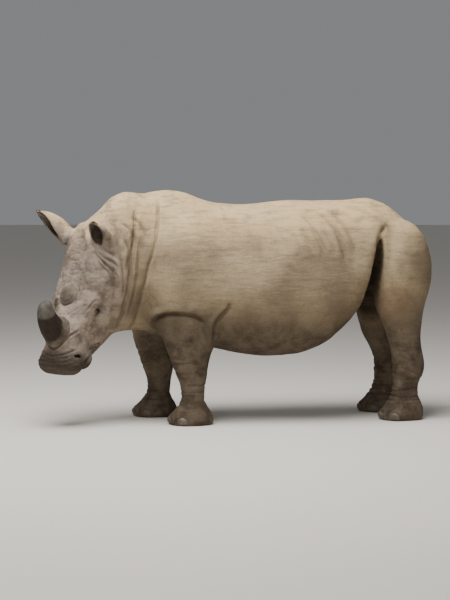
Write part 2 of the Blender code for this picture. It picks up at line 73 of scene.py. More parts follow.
# Trunk and neck: y, middle x, top, bottom, height of the widest level, half width
TRUNK = (
    (-1.46, 0.115, 1.480, 0.880, 1.18, 0.205),
    (-1.36, 0.085, 1.612, 0.780, 1.17, 0.250),
    (-1.25, 0.058, 1.720, 0.728, 1.15, 0.280),
    (-1.15, 0.036, 1.757, 0.710, 1.12, 0.305),
    (-1.02, 0.015, 1.742, 0.695, 1.10, 0.340),
    (-0.94, 0.007, 1.755, 0.660, 1.08, 0.365),
    (-0.82, 0.0, 1.765, 0.645, 1.05, 0.405),
    (-0.70, 0.0, 1.747, 0.620, 1.03, 0.425),
    (-0.60, 0.0, 1.708, 0.592, 1.00, 0.435),
    (-0.45, 0.0, 1.665, 0.548, 0.98, 0.455),
    (-0.26, 0.0, 1.652, 0.505, 0.95, 0.480),
    (-0.08, 0.0, 1.664, 0.482, 0.93, 0.500),
    (0.15, 0.0, 1.685, 0.492, 0.94, 0.505),
    (0.35, 0.0, 1.680, 0.565, 0.99, 0.498),
    (0.50, 0.0, 1.683, 0.675, 1.06, 0.482),
    (0.62, 0.0, 1.692, 0.810, 1.18, 0.455),
    (0.72, 0.0, 1.700, 0.980, 1.32, 0.415),
    (0.84, 0.0, 1.668, 1.000, 1.33, 0.374),
    (0.96, 0.0, 1.588, 1.000, 1.28, 0.338),
    (1.05, 0.0, 1.508, 1.000, 1.22, 0.286),
    (1.12, 0.0, 1.410, 1.010, 1.18, 0.200),
    (1.165, 0.0, 1.310, 1.040, 1.16, 0.110),
)
TRUNK_POWER = (2.0, 2.1)        # roundness of a section above and below its widest level

# Legs: height, half depth, half width
FRONT_LEG = (
    (0.00, 0.165, 0.146), (0.03, 0.172, 0.154), (0.09, 0.147, 0.140), (0.14, 0.112, 0.120),
    (0.20, 0.087, 0.102), (0.27, 0.090, 0.102), (0.36, 0.112, 0.112), (0.48, 0.144, 0.128),
    (0.60, 0.182, 0.145), (0.74, 0.215, 0.156), (0.88, 0.225, 0.160), (1.04, 0.205, 0.160),
    (1.20, 0.150, 0.150),
)
HIND_LEG = (
    (0.00, 0.160, 0.136), (0.03, 0.168, 0.144), (0.09, 0.155, 0.132), (0.14, 0.128, 0.115),
    (0.20, 0.103, 0.100), (0.27, 0.098, 0.098), (0.34, 0.116, 0.104), (0.44, 0.124, 0.110),
    (0.55, 0.120, 0.114), (0.66, 0.131, 0.124), (0.78, 0.160, 0.144), (0.90, 0.190, 0.167),
    (1.02, 0.200, 0.185), (1.15, 0.195, 0.190), (1.30, 0.165, 0.170),
)
LEG_POWER = 2.25
# The line each leg's sections are strung on: height, x, y
LEG_LINES = {
    "front_left": ((0.0, 0.285, -0.696), (0.14, 0.283, -0.680), (0.27, 0.278, -0.676),
                   (0.48, 0.270, -0.697), (0.72, 0.260, -0.710), (1.20, 0.240, -0.705)),
    "front_right": ((0.0, -0.265, -0.894), (0.14, -0.263, -0.870), (0.27, -0.260, -0.857),
                    (0.48, -0.260, -0.872), (0.72, -0.260, -0.866), (1.20, -0.240, -0.730)),
    "hind_left": ((0.0, 0.280, 0.944), (0.14, 0.280, 0.972), (0.27, 0.276, 0.983),
                  (0.40, 0.273, 1.008), (0.66, 0.262, 0.969), (0.90, 0.250, 0.940),
                  (1.30, 0.220, 0.965)),
    "hind_right": ((0.0, -0.262, 0.911), (0.14, -0.262, 0.952), (0.27, -0.262, 0.975),
                   (0.40, -0.262, 0.998), (0.66, -0.258, 0.893), (0.90, -0.248, 0.880),
                   (1.30, -0.220, 0.965)),
}
# Toes: place from the foot's middle (aside, forward, height), half sizes
TOES = (
    ((0.0, 0.096, 0.040), (0.072, 0.074, 0.058)),
    ((0.092, 0.042, 0.036), (0.060, 0.074, 0.052)),
    ((-0.092, 0.042, 0.036), (0.060, 0.074, 0.052)),
)

# Head: along the face from the crown; depths below the face line of the top, the bottom and the
# widest level; half width; roundness above and below
SKULL = (
    (-0.12, 0.10, 0.47, 0.26, 0.140, 2.2, 2.0),
    (-0.04, 0.02, 0.51, 0.26, 0.178, 2.4, 2.0),
    (0.05, 0.00, 0.54, 0.26, 0.205, 2.6, 2.0),
    (0.18, 0.012, 0.575, 0.26, 0.215, 2.8, 2.0),
    (0.32, 0.032, 0.60, 0.26, 0.212, 3.0, 2.0),
    (0.45, 0.042, 0.605, 0.25, 0.202, 3.0, 2.0),
    (0.57, 0.040, 0.585, 0.24, 0.186, 2.8, 2.0),
    (0.68, 0.025, 0.555, 0.225, 0.163, 2.5, 2.1),
    (0.78, 0.012, 0.490, 0.21, 0.146, 2.4, 2.2),
    (0.87, 0.018, 0.415, 0.20, 0.142, 2.4, 2.3),
    (0.94, 0.036, 0.345, 0.20, 0.152, 2.6, 2.5),
    (1.00, 0.056, 0.298, 0.19, 0.164, 3.0, 2.6),
    (1.05, 0.074, 0.258, 0.18, 0.166, 3.2, 2.6),
    (1.085, 0.092, 0.225, 0.165, 0.152, 3.0, 2.6),
    (1.102, 0.124, 0.192, 0.158, 0.115, 2.6, 2.4),
)
# Masses of the head, on both sides: (along, aside, below), half sizes in that order, blend
HEAD_MASSES = (
    ((0.50, 0.150, 0.125), (0.110, 0.048, 0.055), 0.05),    # brow
    ((0.40, 0.160, 0.280), (0.170, 0.052, 0.065), 0.07),    # cheek bone
    ((0.40, 0.105, 0.440), (0.170, 0.085, 0.135), 0.08),    # jaw muscle
    ((0.815, 0.0, 0.085), (0.130, 0.125, 0.075), 0.05),     # nose boss
    ((0.965, 0.112, 0.158), (0.075, 0.060, 0.068), 0.04),   # nostril pad
    ((1.030, 0.088, 0.145), (0.052, 0.086, 0.072), 0.04),   # upper lip
    ((0.935, 0.080, 0.300), (0.080, 0.080, 0.050), 0.03),   # lower lip
)
# Masses of the body, on both sides: centre, half sizes, blend
BODY_MASSES = (
    ((0.27, -0.74, 1.10), (0.175, 0.27, 0.42), 0.12),   # shoulder
    ((0.25, -0.66, 0.78), (0.175, 0.19, 0.20), 0.10),   # upper arm
    ((0.235, 0.965, 1.17), (0.200, 0.215, 0.36), 0.06),  # thigh
    ((0.16, 0.99, 1.12), (0.15, 0.185, 0.30), 0.10),    # buttock
)
# Tail: y, z and radius down its middle line, x = 0
TAIL = (
    (1.04, 1.41, 0.050), (1.105, 1.35, 0.048), (1.145, 1.26, 0.042), (1.162, 1.12, 0.034),
    (1.155, 0.98, 0.027), (1.120, 0.86, 0.023), (1.080, 0.77, 0.018),
)

HEAD_PLACE = np.array((0.12, -1.481, 1.477))    # the crown, between the ears
HEAD_YAW = math.radians(45)                     # turned towards the animal's left
HEAD_PITCH = math.radians(65)                   # the face line's fall below the level

EAR_LENGTH = 0.29
# By share of an ear's length: radius of the roll, half its sweep in degrees, wall
EAR_ROLL = (
    (0.0, 0.052, 160, 0.018), (0.20, 0.060, 152, 0.015), (0.42, 0.066, 132, 0.013),
    (0.62, 0.061, 112, 0.012), (0.80, 0.047, 96, 0.011), (0.93, 0.028, 84, 0.010),
    (1.0, 0.010, 76, 0.010),
)
EAR_ROOT = 0.02         # how deep the leaf starts in its fleshy root
EAR_BEND = 0.05         # how far the tip leans over the mouth
# Place of each base on the head, then the way the ear points and the way it opens, each as
# shares of the head's left, the way it faces on the level, and straight up
EARS = {
    "left": ((0.095, 0.182, 0.065), (0.26, 0.67, 0.69), (0.05, 0.94, -0.30)),
    "right": ((0.050, -0.165, 0.030), (-0.64, 0.30, 0.74), (-0.50, 0.80, -0.25)),
}

EYE_RADIUS = 0.021
FRONT_HORN_PLACE = (0.815, 0.0, 0.030)
FRONT_HORN_LEAN = math.radians(33)
# Horn stubs: height, half length, half width
FRONT_HORN = (
    (-0.045, 0.125, 0.108), (0.0, 0.125, 0.108), (0.035, 0.112, 0.097), (0.10, 0.094, 0.082),
    (0.18, 0.076, 0.067), (0.235, 0.062, 0.055), (0.262, 0.046, 0.042), (0.274, 0.022, 0.020),
)
REAR_HORN_PLACE = (0.520, 0.0, 0.046)
REAR_HORN_LEAN = math.radians(4)
REAR_HORN = (
    (-0.040, 0.104, 0.090), (-0.006, 0.103, 0.089), (0.003, 0.097, 0.083), (0.008, 0.085, 0.073),
    (0.013, 0.080, 0.068), (0.017, 0.066, 0.056), (0.021, 0.058, 0.049), (0.025, 0.038, 0.032),
    (0.028, 0.015, 0.013),
)

NAIL_SWEEP = (50, 44, 44)       # half width of each toe's nail, in degrees about the toe
NAIL_FACING = 48                # how far the side toes' nails turn outwards, in degrees
NAIL_HEIGHT = 0.066
NAIL_ARC = 0.35                 # share of its height that a nail loses at its sides
NAIL_WALL = 0.014               # how far its inner face lies behind the toe's own surface
NAIL_RISE = 0.006               # its lower edge above the floor
NAIL_PROUD = 0.003              # how far its outer face stands before the toe

# Pits in the head, the same on both sides: centre and half sizes along, aside and below
PITS = (
    ((0.962, 0.176, 0.142), (0.011, 0.036, 0.020)),     # nostril
    ((0.972, 0.172, 0.118), (0.008, 0.026, 0.016)),
)
# Gap cut between the belly and each thigh: centre, half sizes, how far back it leans per metre up
GAP = ((0.43, 0.716, 1.03), (0.24, 0.048, 0.37), 0.11)
GAP_REACH = (0.5, 0.95)         # the gaps are worked out only between these two y
# Fleshy root of an ear, and the hollow of its cup: middle and half sizes ahead, across and up
EAR_FLESH = ((0.0, 0.0, 0.01), (0.064, 0.060, 0.085))
EAR_PIT = ((0.012, 0.0, 0.085), (0.040, 0.036, 0.085))
# Width over which each part melts into the rest of the flesh, or a cut into its edge
BLENDS = {"front": 0.07, "hind": 0.045, "toe": 0.02, "tail": 0.03, "head": 0.15, "ear": 0.03,
          "leaf": 0.02, "cup": 0.015, "pit": 0.012, "gap": 0.03, "floor": 0.012}

# The net: its cells are ZOOM times as large inside ZOOM_REACH of the head's middle
ZOOM = 0.45
ZOOM_REACH = 0.75
ZOOM_MIDDLE = np.array((0.22, -1.55, 1.15))
NET_BOX = ((-0.62, -2.05, -0.03), (0.62, 1.38, 1.85))

EYE_BOXES = {1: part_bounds("eye_left"), -1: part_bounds("eye_right")}
LID_REACH = 0.066       # how far from the eyeball's middle the lids shape the skin
LID_BALL = 0.0235       # the ball that the lids' rims lie on
LID_LONG = 0.0205       # half width of the opening
LID_UP = 0.0135         # its height above and below its middle line
LID_DOWN = 0.0120
LID_DROOP = -0.0025     # how much lower its front corner lies
LID_POWER = 1.7
LID_RIM = 0.0022        # how far the rims stand up
LID_CREASES = ((1.62, 0.0034), (2.15, 0.0028), (2.8, 0.0018))   # by the opening's scale: depth
EYE_REFINED = (0.085, 0.055)    # the skin's edges are halved within each of these
EYE_CLEARANCE = 0.0009          # how much smaller the eyeball is than its node
CORNEA_SWELL = 0.045            # the cornea's height as a share of the radius
CORNEA_ANGLE = 0.42             # and its half width as an angle

# A broken stub beside the rear horn: place on the head, radius, height
STUB = ((0.570, -0.098, 0.052), 0.046, 0.018)

# Painted shade of the groin, and brown stains before the thigh: share, middle, sizes
GROIN_SHADE = ((0, 0.76, 0.93), (0.36, 0.26, 0.27))
STAINS = ((1.0, (0.39, 0.88, 0.95), (0.2, 0.13, 0.14)), (0.6, (0.40, 0.60, 0.80), (0.2, 0.18, 0.12)))
BELOW_MOST = 1.4        # the painted shade under the belly may pass 1
NECK_FADE = (-0.86, -1.02)      # y over which the neck's looks come in
# Depth of the clefts between toes and of the bed under a nail, and height of the bed's edge
CLEFT_DEPTH = 0.012
BED_DEPTH = 0.006
BED_EDGE = 0.0035
FAR_OFF = 9.0           # beyond any nail's bed
SOLE_FADE = 0.02        # the skin's relief comes in over this height above the floor
EYE_CALM = (0.03, 0.05)         # and over these distances from an eyeball's middle

# Thickness of a hair at its root, and how far it droops per metre of its length
FRINGE = (0.0009, -0.12)
BRISTLES = (0.0012, -0.1)
LASHES = (0.0006, -0.5)

CAMERA_TURN = math.radians(80)
CAMERA_AWAY = 16.0
CAMERA_AIM = (0.0, -0.0443, 0.917)
CAMERA_PLACE = (CAMERA_AWAY * math.sin(CAMERA_TURN),
                CAMERA_AIM[1] - CAMERA_AWAY * math.cos(CAMERA_TURN), 2.1)
CAMERA_LENS = 124.86
LIGHT_SIZE = 5.0
LIGHT_AIM = (0.0, 0.0, 0.9)
# Name, share of the key light's power, place
LIGHTS = (("key", 1.0, (1.8, -1.6, 7.0)), ("fill", 0.13, (8.0, -2.5, 3.0)))
FLOOR_SIDES = 96
SIDES = (("left", 1), ("right", -1))

# ---- Smooth numbers ------------------------------------------------------------------------


def unit(vector):
    """The same way, one long."""
    vector = np.asarray(vector, float)
    return vector / np.linalg.norm(vector, axis=-1, keepdims=True)


def ease(low, high, value):
    """0 at low, 1 at high, and 3s^2 - 2s^3 of the share between them."""
    share = np.clip((value - low) / (high - low), 0, 1)
    return share * share * (3 - 2 * share)


def read(table, at):
    """Each other column of a table at values of its first: cubics whose slopes never overshoot."""
    rows = np.asarray(table, float)
    knots = rows[:, 0]
    gaps = np.diff(knots)
    at = np.clip(at, knots[0], knots[-1])
    span = np.clip(np.searchsorted(knots, at) - 1, 0, len(gaps) - 1)
    share = (at - knots[span]) / gaps[span]
    columns = []
    for values in rows[:, 1:].T:
        rise = np.diff(values) / gaps
        before, after = rise[:-1], rise[1:]
        near, far = 2 * gaps[1:] + gaps[:-1], gaps[1:] + 2 * gaps[:-1]
        turning = before * after <= 0
        before, after = np.where(turning, 1, before), np.where(turning, 1, after)
        inner = np.where(turning, 0, (near + far) / (near / before + far / after))
        slope = np.concatenate([rise[:1], inner, rise[-1:]])
        columns.append((1 + 2 * share) * (1 - share) ** 2 * values[span]
                       + share * (1 - share) ** 2 * gaps[span] * slope[span]
                       + share ** 2 * (3 - 2 * share) * values[span + 1]
                       + share ** 2 * (share - 1) * gaps[span] * slope[span + 1])
    return columns


def smooth_min(a, b, blend):
    """The lesser of two distances, rounded over a width of blend where they are alike."""
    overlap = np.maximum(blend - np.abs(a - b), 0)
    return np.minimum(a, b) - overlap * overlap / (4 * blend)


def smooth_max(a, b, blend):
    """The greater of two distances, rounded the same way."""
    return -smooth_min(-a, -b, blend)


def groove(size):
    """A crease across its line: 1 on it and falling away, by the distance in half widths."""
    return np.exp(-np.abs(size) ** 1.4)


def bell(value, middle, width):
    """1 where a value is the middle one, falling away on both sides of it."""
    return np.exp(-((value - middle) / width) ** 2)


# A random value for each corner of a lattice: primes that mix its three numbers, then a factor
HASH_PRIMES = (73856093, 19349663, 83492791)
HASH_FACTOR = 1274126177
SEED_STEP = 57.3        # how far each seed moves the lattice, in cells


def noise(points, size, seed=0):
    """Even noise from -1 to 1: a random value at each corner of a lattice, eased between corners."""
    place = np.asarray(points) / size + SEED_STEP * seed
    cell = np.floor(place).astype(np.int64)
    share = ease(0, 1, place - cell)
    total = np.zeros(len(place))
    for corner in itertools.product((0, 1), repeat=3):
        mix = ((cell + corner) * HASH_PRIMES).sum(axis=1)
        mix = (mix ^ (mix >> 13)) * HASH_FACTOR
        value = ((mix ^ (mix >> 16)) & 0xFFFF) / 32767.5 - 1
        total += value * np.where(corner, share, 1 - share).prod(axis=1)
    return total


# ---- The field: distance outside the flesh, less than nothing inside ----------------------


def head_axes():
    """Rows: along the face, the head's left, and out of the face."""
    level = np.array((math.sin(HEAD_YAW), -math.cos(HEAD_YAW), 0))
    up = np.array((0, 0, 1.0))
    along = level * math.cos(HEAD_PITCH) - up * math.sin(HEAD_PITCH)
    out = level * math.sin(HEAD_PITCH) + up * math.cos(HEAD_PITCH)
    return np.array((along, np.cross(up, level), out)), level


(ALONG, ASIDE, OUT), LEVEL = head_axes()


def on_head(place):
    """Points of the working frame, from places along the face, aside, and below the face line."""
    return HEAD_PLACE + np.asarray(place, float) * (1, 1, -1) @ (ALONG, ASIDE, OUT)


def to_head(points):
    """The way back from on_head."""
    return (points - HEAD_PLACE) @ np.transpose((ALONG, ASIDE, OUT)) * (1, 1, -1)


def section(side, rise, width, top, bottom, power_top, power_bottom):
    """Distance from a ring whose upper and lower halves are superellipses, measured outwards."""
    height = np.where(rise > 0, top, bottom)
    power = np.where(rise > 0, power_top, power_bottom)
    scale = ((np.abs(side) / width) ** power + (np.abs(rise) / height) ** power) ** (1 / power)
    scale = np.maximum(scale, 1e-3)
    return (scale - 1) * np.maximum(np.hypot(side, rise), 1e-6) / scale


def with_ends(distance, beyond):
    """Closes a loft with flat ends: beyond is how far a point lies past the nearer end."""
    past = np.hypot(np.maximum(distance, 0), np.maximum(beyond, 0))
    return np.where(beyond > 0, np.where(distance > 0, past, beyond), distance)


def ellipsoid(points, centre, sizes):
    """Distance from an ellipsoid, near enough: how far its scale is from 1, by its gradient."""
    place = points - np.asarray(centre)
    scale = np.linalg.norm(place / sizes, axis=1)
    steep = np.linalg.norm(place / np.square(sizes), axis=1)
    return scale * (scale - 1) / np.maximum(steep, 1e-9)


def trunk(points):
    """Rings strung along y, their sizes read between the stations."""
    y = points[:, 1]
    x, top, bottom, middle, width = read(TRUNK, y)
    distance = section(points[:, 0] - x, points[:, 2] - middle, width, top - middle,
                       middle - bottom, *TRUNK_POWER)
    return with_ends(distance, np.maximum(TRUNK[0][0] - y, y - TRUNK[-1][0]))


def leg(points, name):
    """Rings strung up a leg's line, their sizes read by height."""
    z = points[:, 2]
    sections = FRONT_LEG if name.startswith("front") else HIND_LEG
    depth, width = read(sections, z)
    x, y = read(LEG_LINES[name], z)
    distance = section(points[:, 0] - x, points[:, 1] - y, width, depth, depth,
                       LEG_POWER, LEG_POWER)
    return with_ends(distance, np.maximum(-z, z - sections[-1][0]))


def toe_centre(name, toe):
    """A toe's middle, from its foot's."""
    aside, forward, height = TOES[toe][0]
    _, x, y = LEG_LINES[name][0]
    return np.array((x + aside, y - forward, height))


def nail_facing(toe):
    """The way a toe's nail faces, in degrees outwards from straight ahead."""
    aside = TOES[toe][0][0]
    return math.copysign(NAIL_FACING, aside) if aside else 0


def tail(points):
    """A tube round the tail's line: the nearest of its tapering stretches."""
    rows = np.array(TAIL)
    distance = np.full(len(points), np.inf)
    for (y, z, radius), (next_y, next_z, next_radius) in zip(rows, rows[1:]):
        start, run = np.array((0, y, z)), np.array((0, next_y - y, next_z - z))
        share = np.clip((points - start) @ run / (run @ run), 0, 1)
        reach = np.linalg.norm(points - start - share[:, None] * run, axis=1)
        distance = np.minimum(distance, reach - radius - (next_radius - radius) * share)
    return distance


def head(points):
    """Skull, its masses on both sides, and the nostrils' pits."""
    place = to_head(points)
    place[:, 1] = np.abs(place[:, 1])
    along, aside, below = place.T
    top, bottom, middle, width, power_top, power_bottom = read(SKULL, along)
    distance = section(aside, middle - below, width, middle - top, bottom - middle,
                       power_top, power_bottom)
    distance = with_ends(distance, np.maximum(SKULL[0][0] - along, along - SKULL[-1][0]))
    for centre, sizes, blend in HEAD_MASSES:
        distance = smooth_min(distance, ellipsoid(place, centre, sizes), blend)
    for centre, sizes in PITS:
        distance = smooth_max(distance, -ellipsoid(place, centre, sizes), BLENDS["pit"])
    return distance


def ear_axes(name):
    """Base, then the way the ear points, opens and lies across."""
    base, point, mouth = EARS[name]
    shares = np.array((ASIDE, LEVEL, (0, 0, 1)))
    point = unit(point @ shares)
    mouth = mouth @ shares
    mouth = unit(mouth - point * (mouth @ point))
    return on_head(base), point, mouth, np.cross(point, mouth)


def ear(points, name):
    """A rolled leaf: in each section across the way it points, an arc as thick as its wall."""
    base, point, mouth, across = ear_axes(name)
    rise, ahead, side = ((points - base) @ np.transpose((point, mouth, across))).T
    share = np.clip((rise + EAR_ROOT) / (EAR_LENGTH + EAR_ROOT), 0, 1)
    radius, sweep, wall = read(EAR_ROLL, share)
    back = EAR_BEND * share * share - ahead
    edge = np.radians(sweep)
    inside = np.abs(np.arctan2(side, back)) < edge
    to_arc = np.abs(np.hypot(side, back) - radius)
    to_edge = np.hypot(back - radius * np.cos(edge), np.abs(side) - radius * np.sin(edge))
    beyond = np.maximum(np.maximum(rise - EAR_LENGTH, -EAR_ROOT - rise), 0)
    leaf = np.hypot(np.where(inside, to_arc, to_edge), beyond) - wall / 2
    place = np.stack((ahead, side, rise), axis=1)
    root = smooth_max(ellipsoid(place, *EAR_FLESH), -ellipsoid(place, *EAR_PIT), BLENDS["cup"])
    return smooth_min(leaf, root, BLENDS["leaf"])


def part_box(low, high, reach):
    """Two corners of a box, moved outwards by the reach."""
    return np.array(low) - reach, np.array(high) + reach


def parts_of_flesh():
    """Every part melted into the trunk: its distance, its blend, and the box outside which it's far."""
    parts = []
    for name, line in LEG_LINES.items():
        middle = np.array(line)[:, 1:].mean(axis=0)
        low, high = (*(middle - 0.3), 0.0), (*(middle + 0.3), 1.3)
        parts.append((partial(leg, name=name), BLENDS[name.split("_")[0]], part_box(low, high, 0.1)))
    masses = [(np.array(centre) * (side, 1, 1), np.array(sizes), blend, 0.25)
              for centre, sizes, blend in BODY_MASSES for side in (1, -1)]
    masses += [(toe_centre(name, toe), np.array(TOES[toe][1]), BLENDS["toe"], 0.1)
               for name, toe in itertools.product(LEG_LINES, range(len(TOES)))]
    for centre, sizes, blend, reach in masses:
        parts.append((partial(ellipsoid, centre=centre, sizes=sizes), blend,
                      part_box(centre - sizes, centre + sizes, reach)))
    parts.append((tail, BLENDS["tail"], part_box((0, 0.98, 0.7), (0, 1.3, 1.45), 0.25)))
    middle = on_head((0.5, 0, 0.25))
    parts.append((head, BLENDS["head"], part_box(middle - 0.55, middle + 0.55, 0.25)))
    for name in EARS:
        base, point, _, _ = ear_axes(name)
        middle = base + point * 0.13
        parts.append((partial(ear, name=name), BLENDS["ear"],
                      part_box(middle - 0.2, middle + 0.2, 0.06)))
    return parts


def in_gaps(points):
    """Distance outside the gaps that part the belly from the thighs."""
    centre, sizes, lean = GAP
    place = np.column_stack((np.abs(points[:, 0]), points[:, 1:])) - centre
    place[:, 1] -= lean * place[:, 2]
    return ellipsoid(place, (0, 0, 0), sizes)


def flesh(points):
    """Distance outside the whole animal, cut off level with the floor."""
    distance = trunk(points)
    for part, blend, (low, high) in FLESH:
        near = ((points > low) & (points < high)).all(axis=1)
        distance[near] = smooth_min(distance[near], part(points[near]), blend)
    near = (points[:, 1] > GAP_REACH[0]) & (points[:, 1] < GAP_REACH[1])
    distance[near] = smooth_max(distance[near], -in_gaps(points[near]), BLENDS["gap"])
    return smooth_max(distance, -points[:, 2], BLENDS["floor"])


FLESH = parts_of_flesh()

# ---- The net drawn over the field's zero --------------------------------------------------


def zoom_table():
    """How far from the head's middle a length lies in the net's space, which is finer there."""
    world = np.linspace(0, 6, 4001)
    rate = 1 + (1 / ZOOM - 1) / (1 + (world / ZOOM_REACH) ** 6)
    steps = (rate[1:] + rate[:-1]) / 2 * np.diff(world)
    return world, np.concatenate([[0], np.cumsum(steps)])


ZOOM_WORLD, ZOOM_NET = zoom_table()


def stretch(points, lengths_from, lengths_to):
    """Moves points straight out from the zoom's middle, from one scale of lengths to the other."""
    way = points - ZOOM_MIDDLE
    length = np.linalg.norm(way, axis=1)
    scale = np.interp(length, lengths_from, lengths_to) / np.maximum(length, 1e-9)
    return ZOOM_MIDDLE + way * scale[:, None]


def to_world(points):
    return stretch(points, ZOOM_NET, ZOOM_WORLD)


def to_net(points):
    return stretch(points, ZOOM_WORLD, ZOOM_NET)


def sample_blocks(step, low, high, block=8):
    """The field on a lattice, worked out only in the blocks of cells that the surface can cross."""
    count = np.ceil((high - low) / step / block).astype(int) * block
    corners = np.stack(np.meshgrid(*[np.arange(0, n, block) for n in count], indexing="ij"), -1)
    corners = corners.reshape(-1, 3)
    middle = flesh(to_world(low + step * (corners + block / 2)))
    sign = np.where(middle < 0, -1, 1).astype(np.float32).reshape(tuple(count // block))
    field = np.ones(tuple(count + 1), np.float32)
    for axis in range(3):
        sign = np.repeat(sign, block, axis)
    field[:-1, :-1, :-1] = sign
    inner = np.stack(np.meshgrid(*[np.arange(block + 1)] * 3, indexing="ij"), -1).reshape(-1, 3)
    chosen = corners[np.abs(middle) < step * block * 0.95]
    chosen = (chosen[:, None] + inner).reshape(-1, 3)
    flat = np.unique(np.ravel_multi_index(chosen.T, field.shape))
    lattice = np.stack(np.unravel_index(flat, field.shape), 1)
    field.ravel()[flat] = flesh(to_world(low + step * lattice))
    return field


def draw_net(step):
    """One vertex in each cell that the surface crosses, at the mean of its crossings on the
    cell's edges, and one quad round each edge that it crosses."""
    reach = np.array(list(itertools.product(*zip(*NET_BOX))))
    on_axes = np.array([[NET_BOX[i // 3][j] if j == i % 3 else ZOOM_MIDDLE[j] for j in range(3)]
                        for i in range(6)])
    reach = to_net(np.concatenate([reach, on_axes]))
    low, high = reach.min(axis=0), reach.max(axis=0)
    field = sample_blocks(step, low, high)
    inside = field < 0
    size = np.array(field.shape) - 1
    filled = sum(inside[x:size[0] + x, y:size[1] + y, z:size[2] + z].astype(np.uint8)
                 for x, y, z in itertools.product((0, 1), repeat=3))
    cells = np.flatnonzero((filled > 0) & (filled < 8))
    lattice = np.stack(np.unravel_index(cells, tuple(size)), 1)
    total, hits = np.zeros(lattice.shape), np.zeros(len(lattice))
    for axis in range(3):
        others = [i for i in range(3) if i != axis]
        for corner in itertools.product((0, 1), repeat=2):
            start = lattice.copy()
            start[:, others] += corner
            end = start.copy()
            end[:, axis] += 1
            first, second = field[tuple(start.T)], field[tuple(end.T)]
            cross = (first < 0) != (second < 0)
            found = start[cross].astype(float)
            found[:, axis] += first[cross] / (first[cross] - second[cross])
            total[cross] += found
            hits[cross] += 1
    points = to_world(low + step * total / hits[:, None])
    number = np.full(int(np.prod(size)), -1)
    number[cells] = np.arange(len(cells))
    number = number.reshape(tuple(size))
    quads = []
    for axis in range(3):
        near = np.take(inside, range(size[axis]), axis)
        far = np.take(inside, range(1, size[axis] + 1), axis)
        edge = np.stack(np.nonzero(near != far), 1)
        leaves = near[tuple(edge.T)]
        right, up = (axis + 1) % 3, (axis + 2) % 3
        around = []
        for corner in ((-1, -1), (0, -1), (0, 0), (-1, 0)):
            cell = edge.copy()
            cell[:, (right, up)] += corner
            around.append(number[tuple(cell.T)])
        around = np.stack(around, 1)
        around[~leaves] = around[~leaves][:, ::-1]
        quads.append(around)
    return points, np.concatenate(quads)


def settle(points, edges, rounds):
    """Eases points towards their neighbours' mean, then back onto the surface by the gradient."""
    count = len(points)
    degree = np.bincount(edges.ravel(), minlength=count)
    for _ in range(rounds):
        mean = np.empty_like(points)
        for axis in range(3):
            value = points[:, axis]
            mean[:, axis] = (np.bincount(edges[:, 0], value[edges[:, 1]], count)
                             + np.bincount(edges[:, 1], value[edges[:, 0]], count)) / degree
        points = (points + mean) / 2
        for _ in range(2):
            distance, slope = flesh(points), gradient(points)
            move = -distance[:, None] * slope / np.maximum((slope ** 2).sum(axis=1), 0.05)[:, None]
            length = np.linalg.norm(move, axis=1, keepdims=True)
            points = points + move * np.minimum(1, 0.02 / np.maximum(length, 1e-9))
    return points


def gradient(points, step=0.0015):
    """How the field rises along each axis, by differences."""
    slope = np.empty_like(points)
    for axis in range(3):
        shift = np.eye(3)[axis] * step
        slope[:, axis] = (flesh(points + shift) - flesh(points - shift)) / (2 * step)
    return slope


# ---- Folds pressed into the skin -----------------------------------------------------------

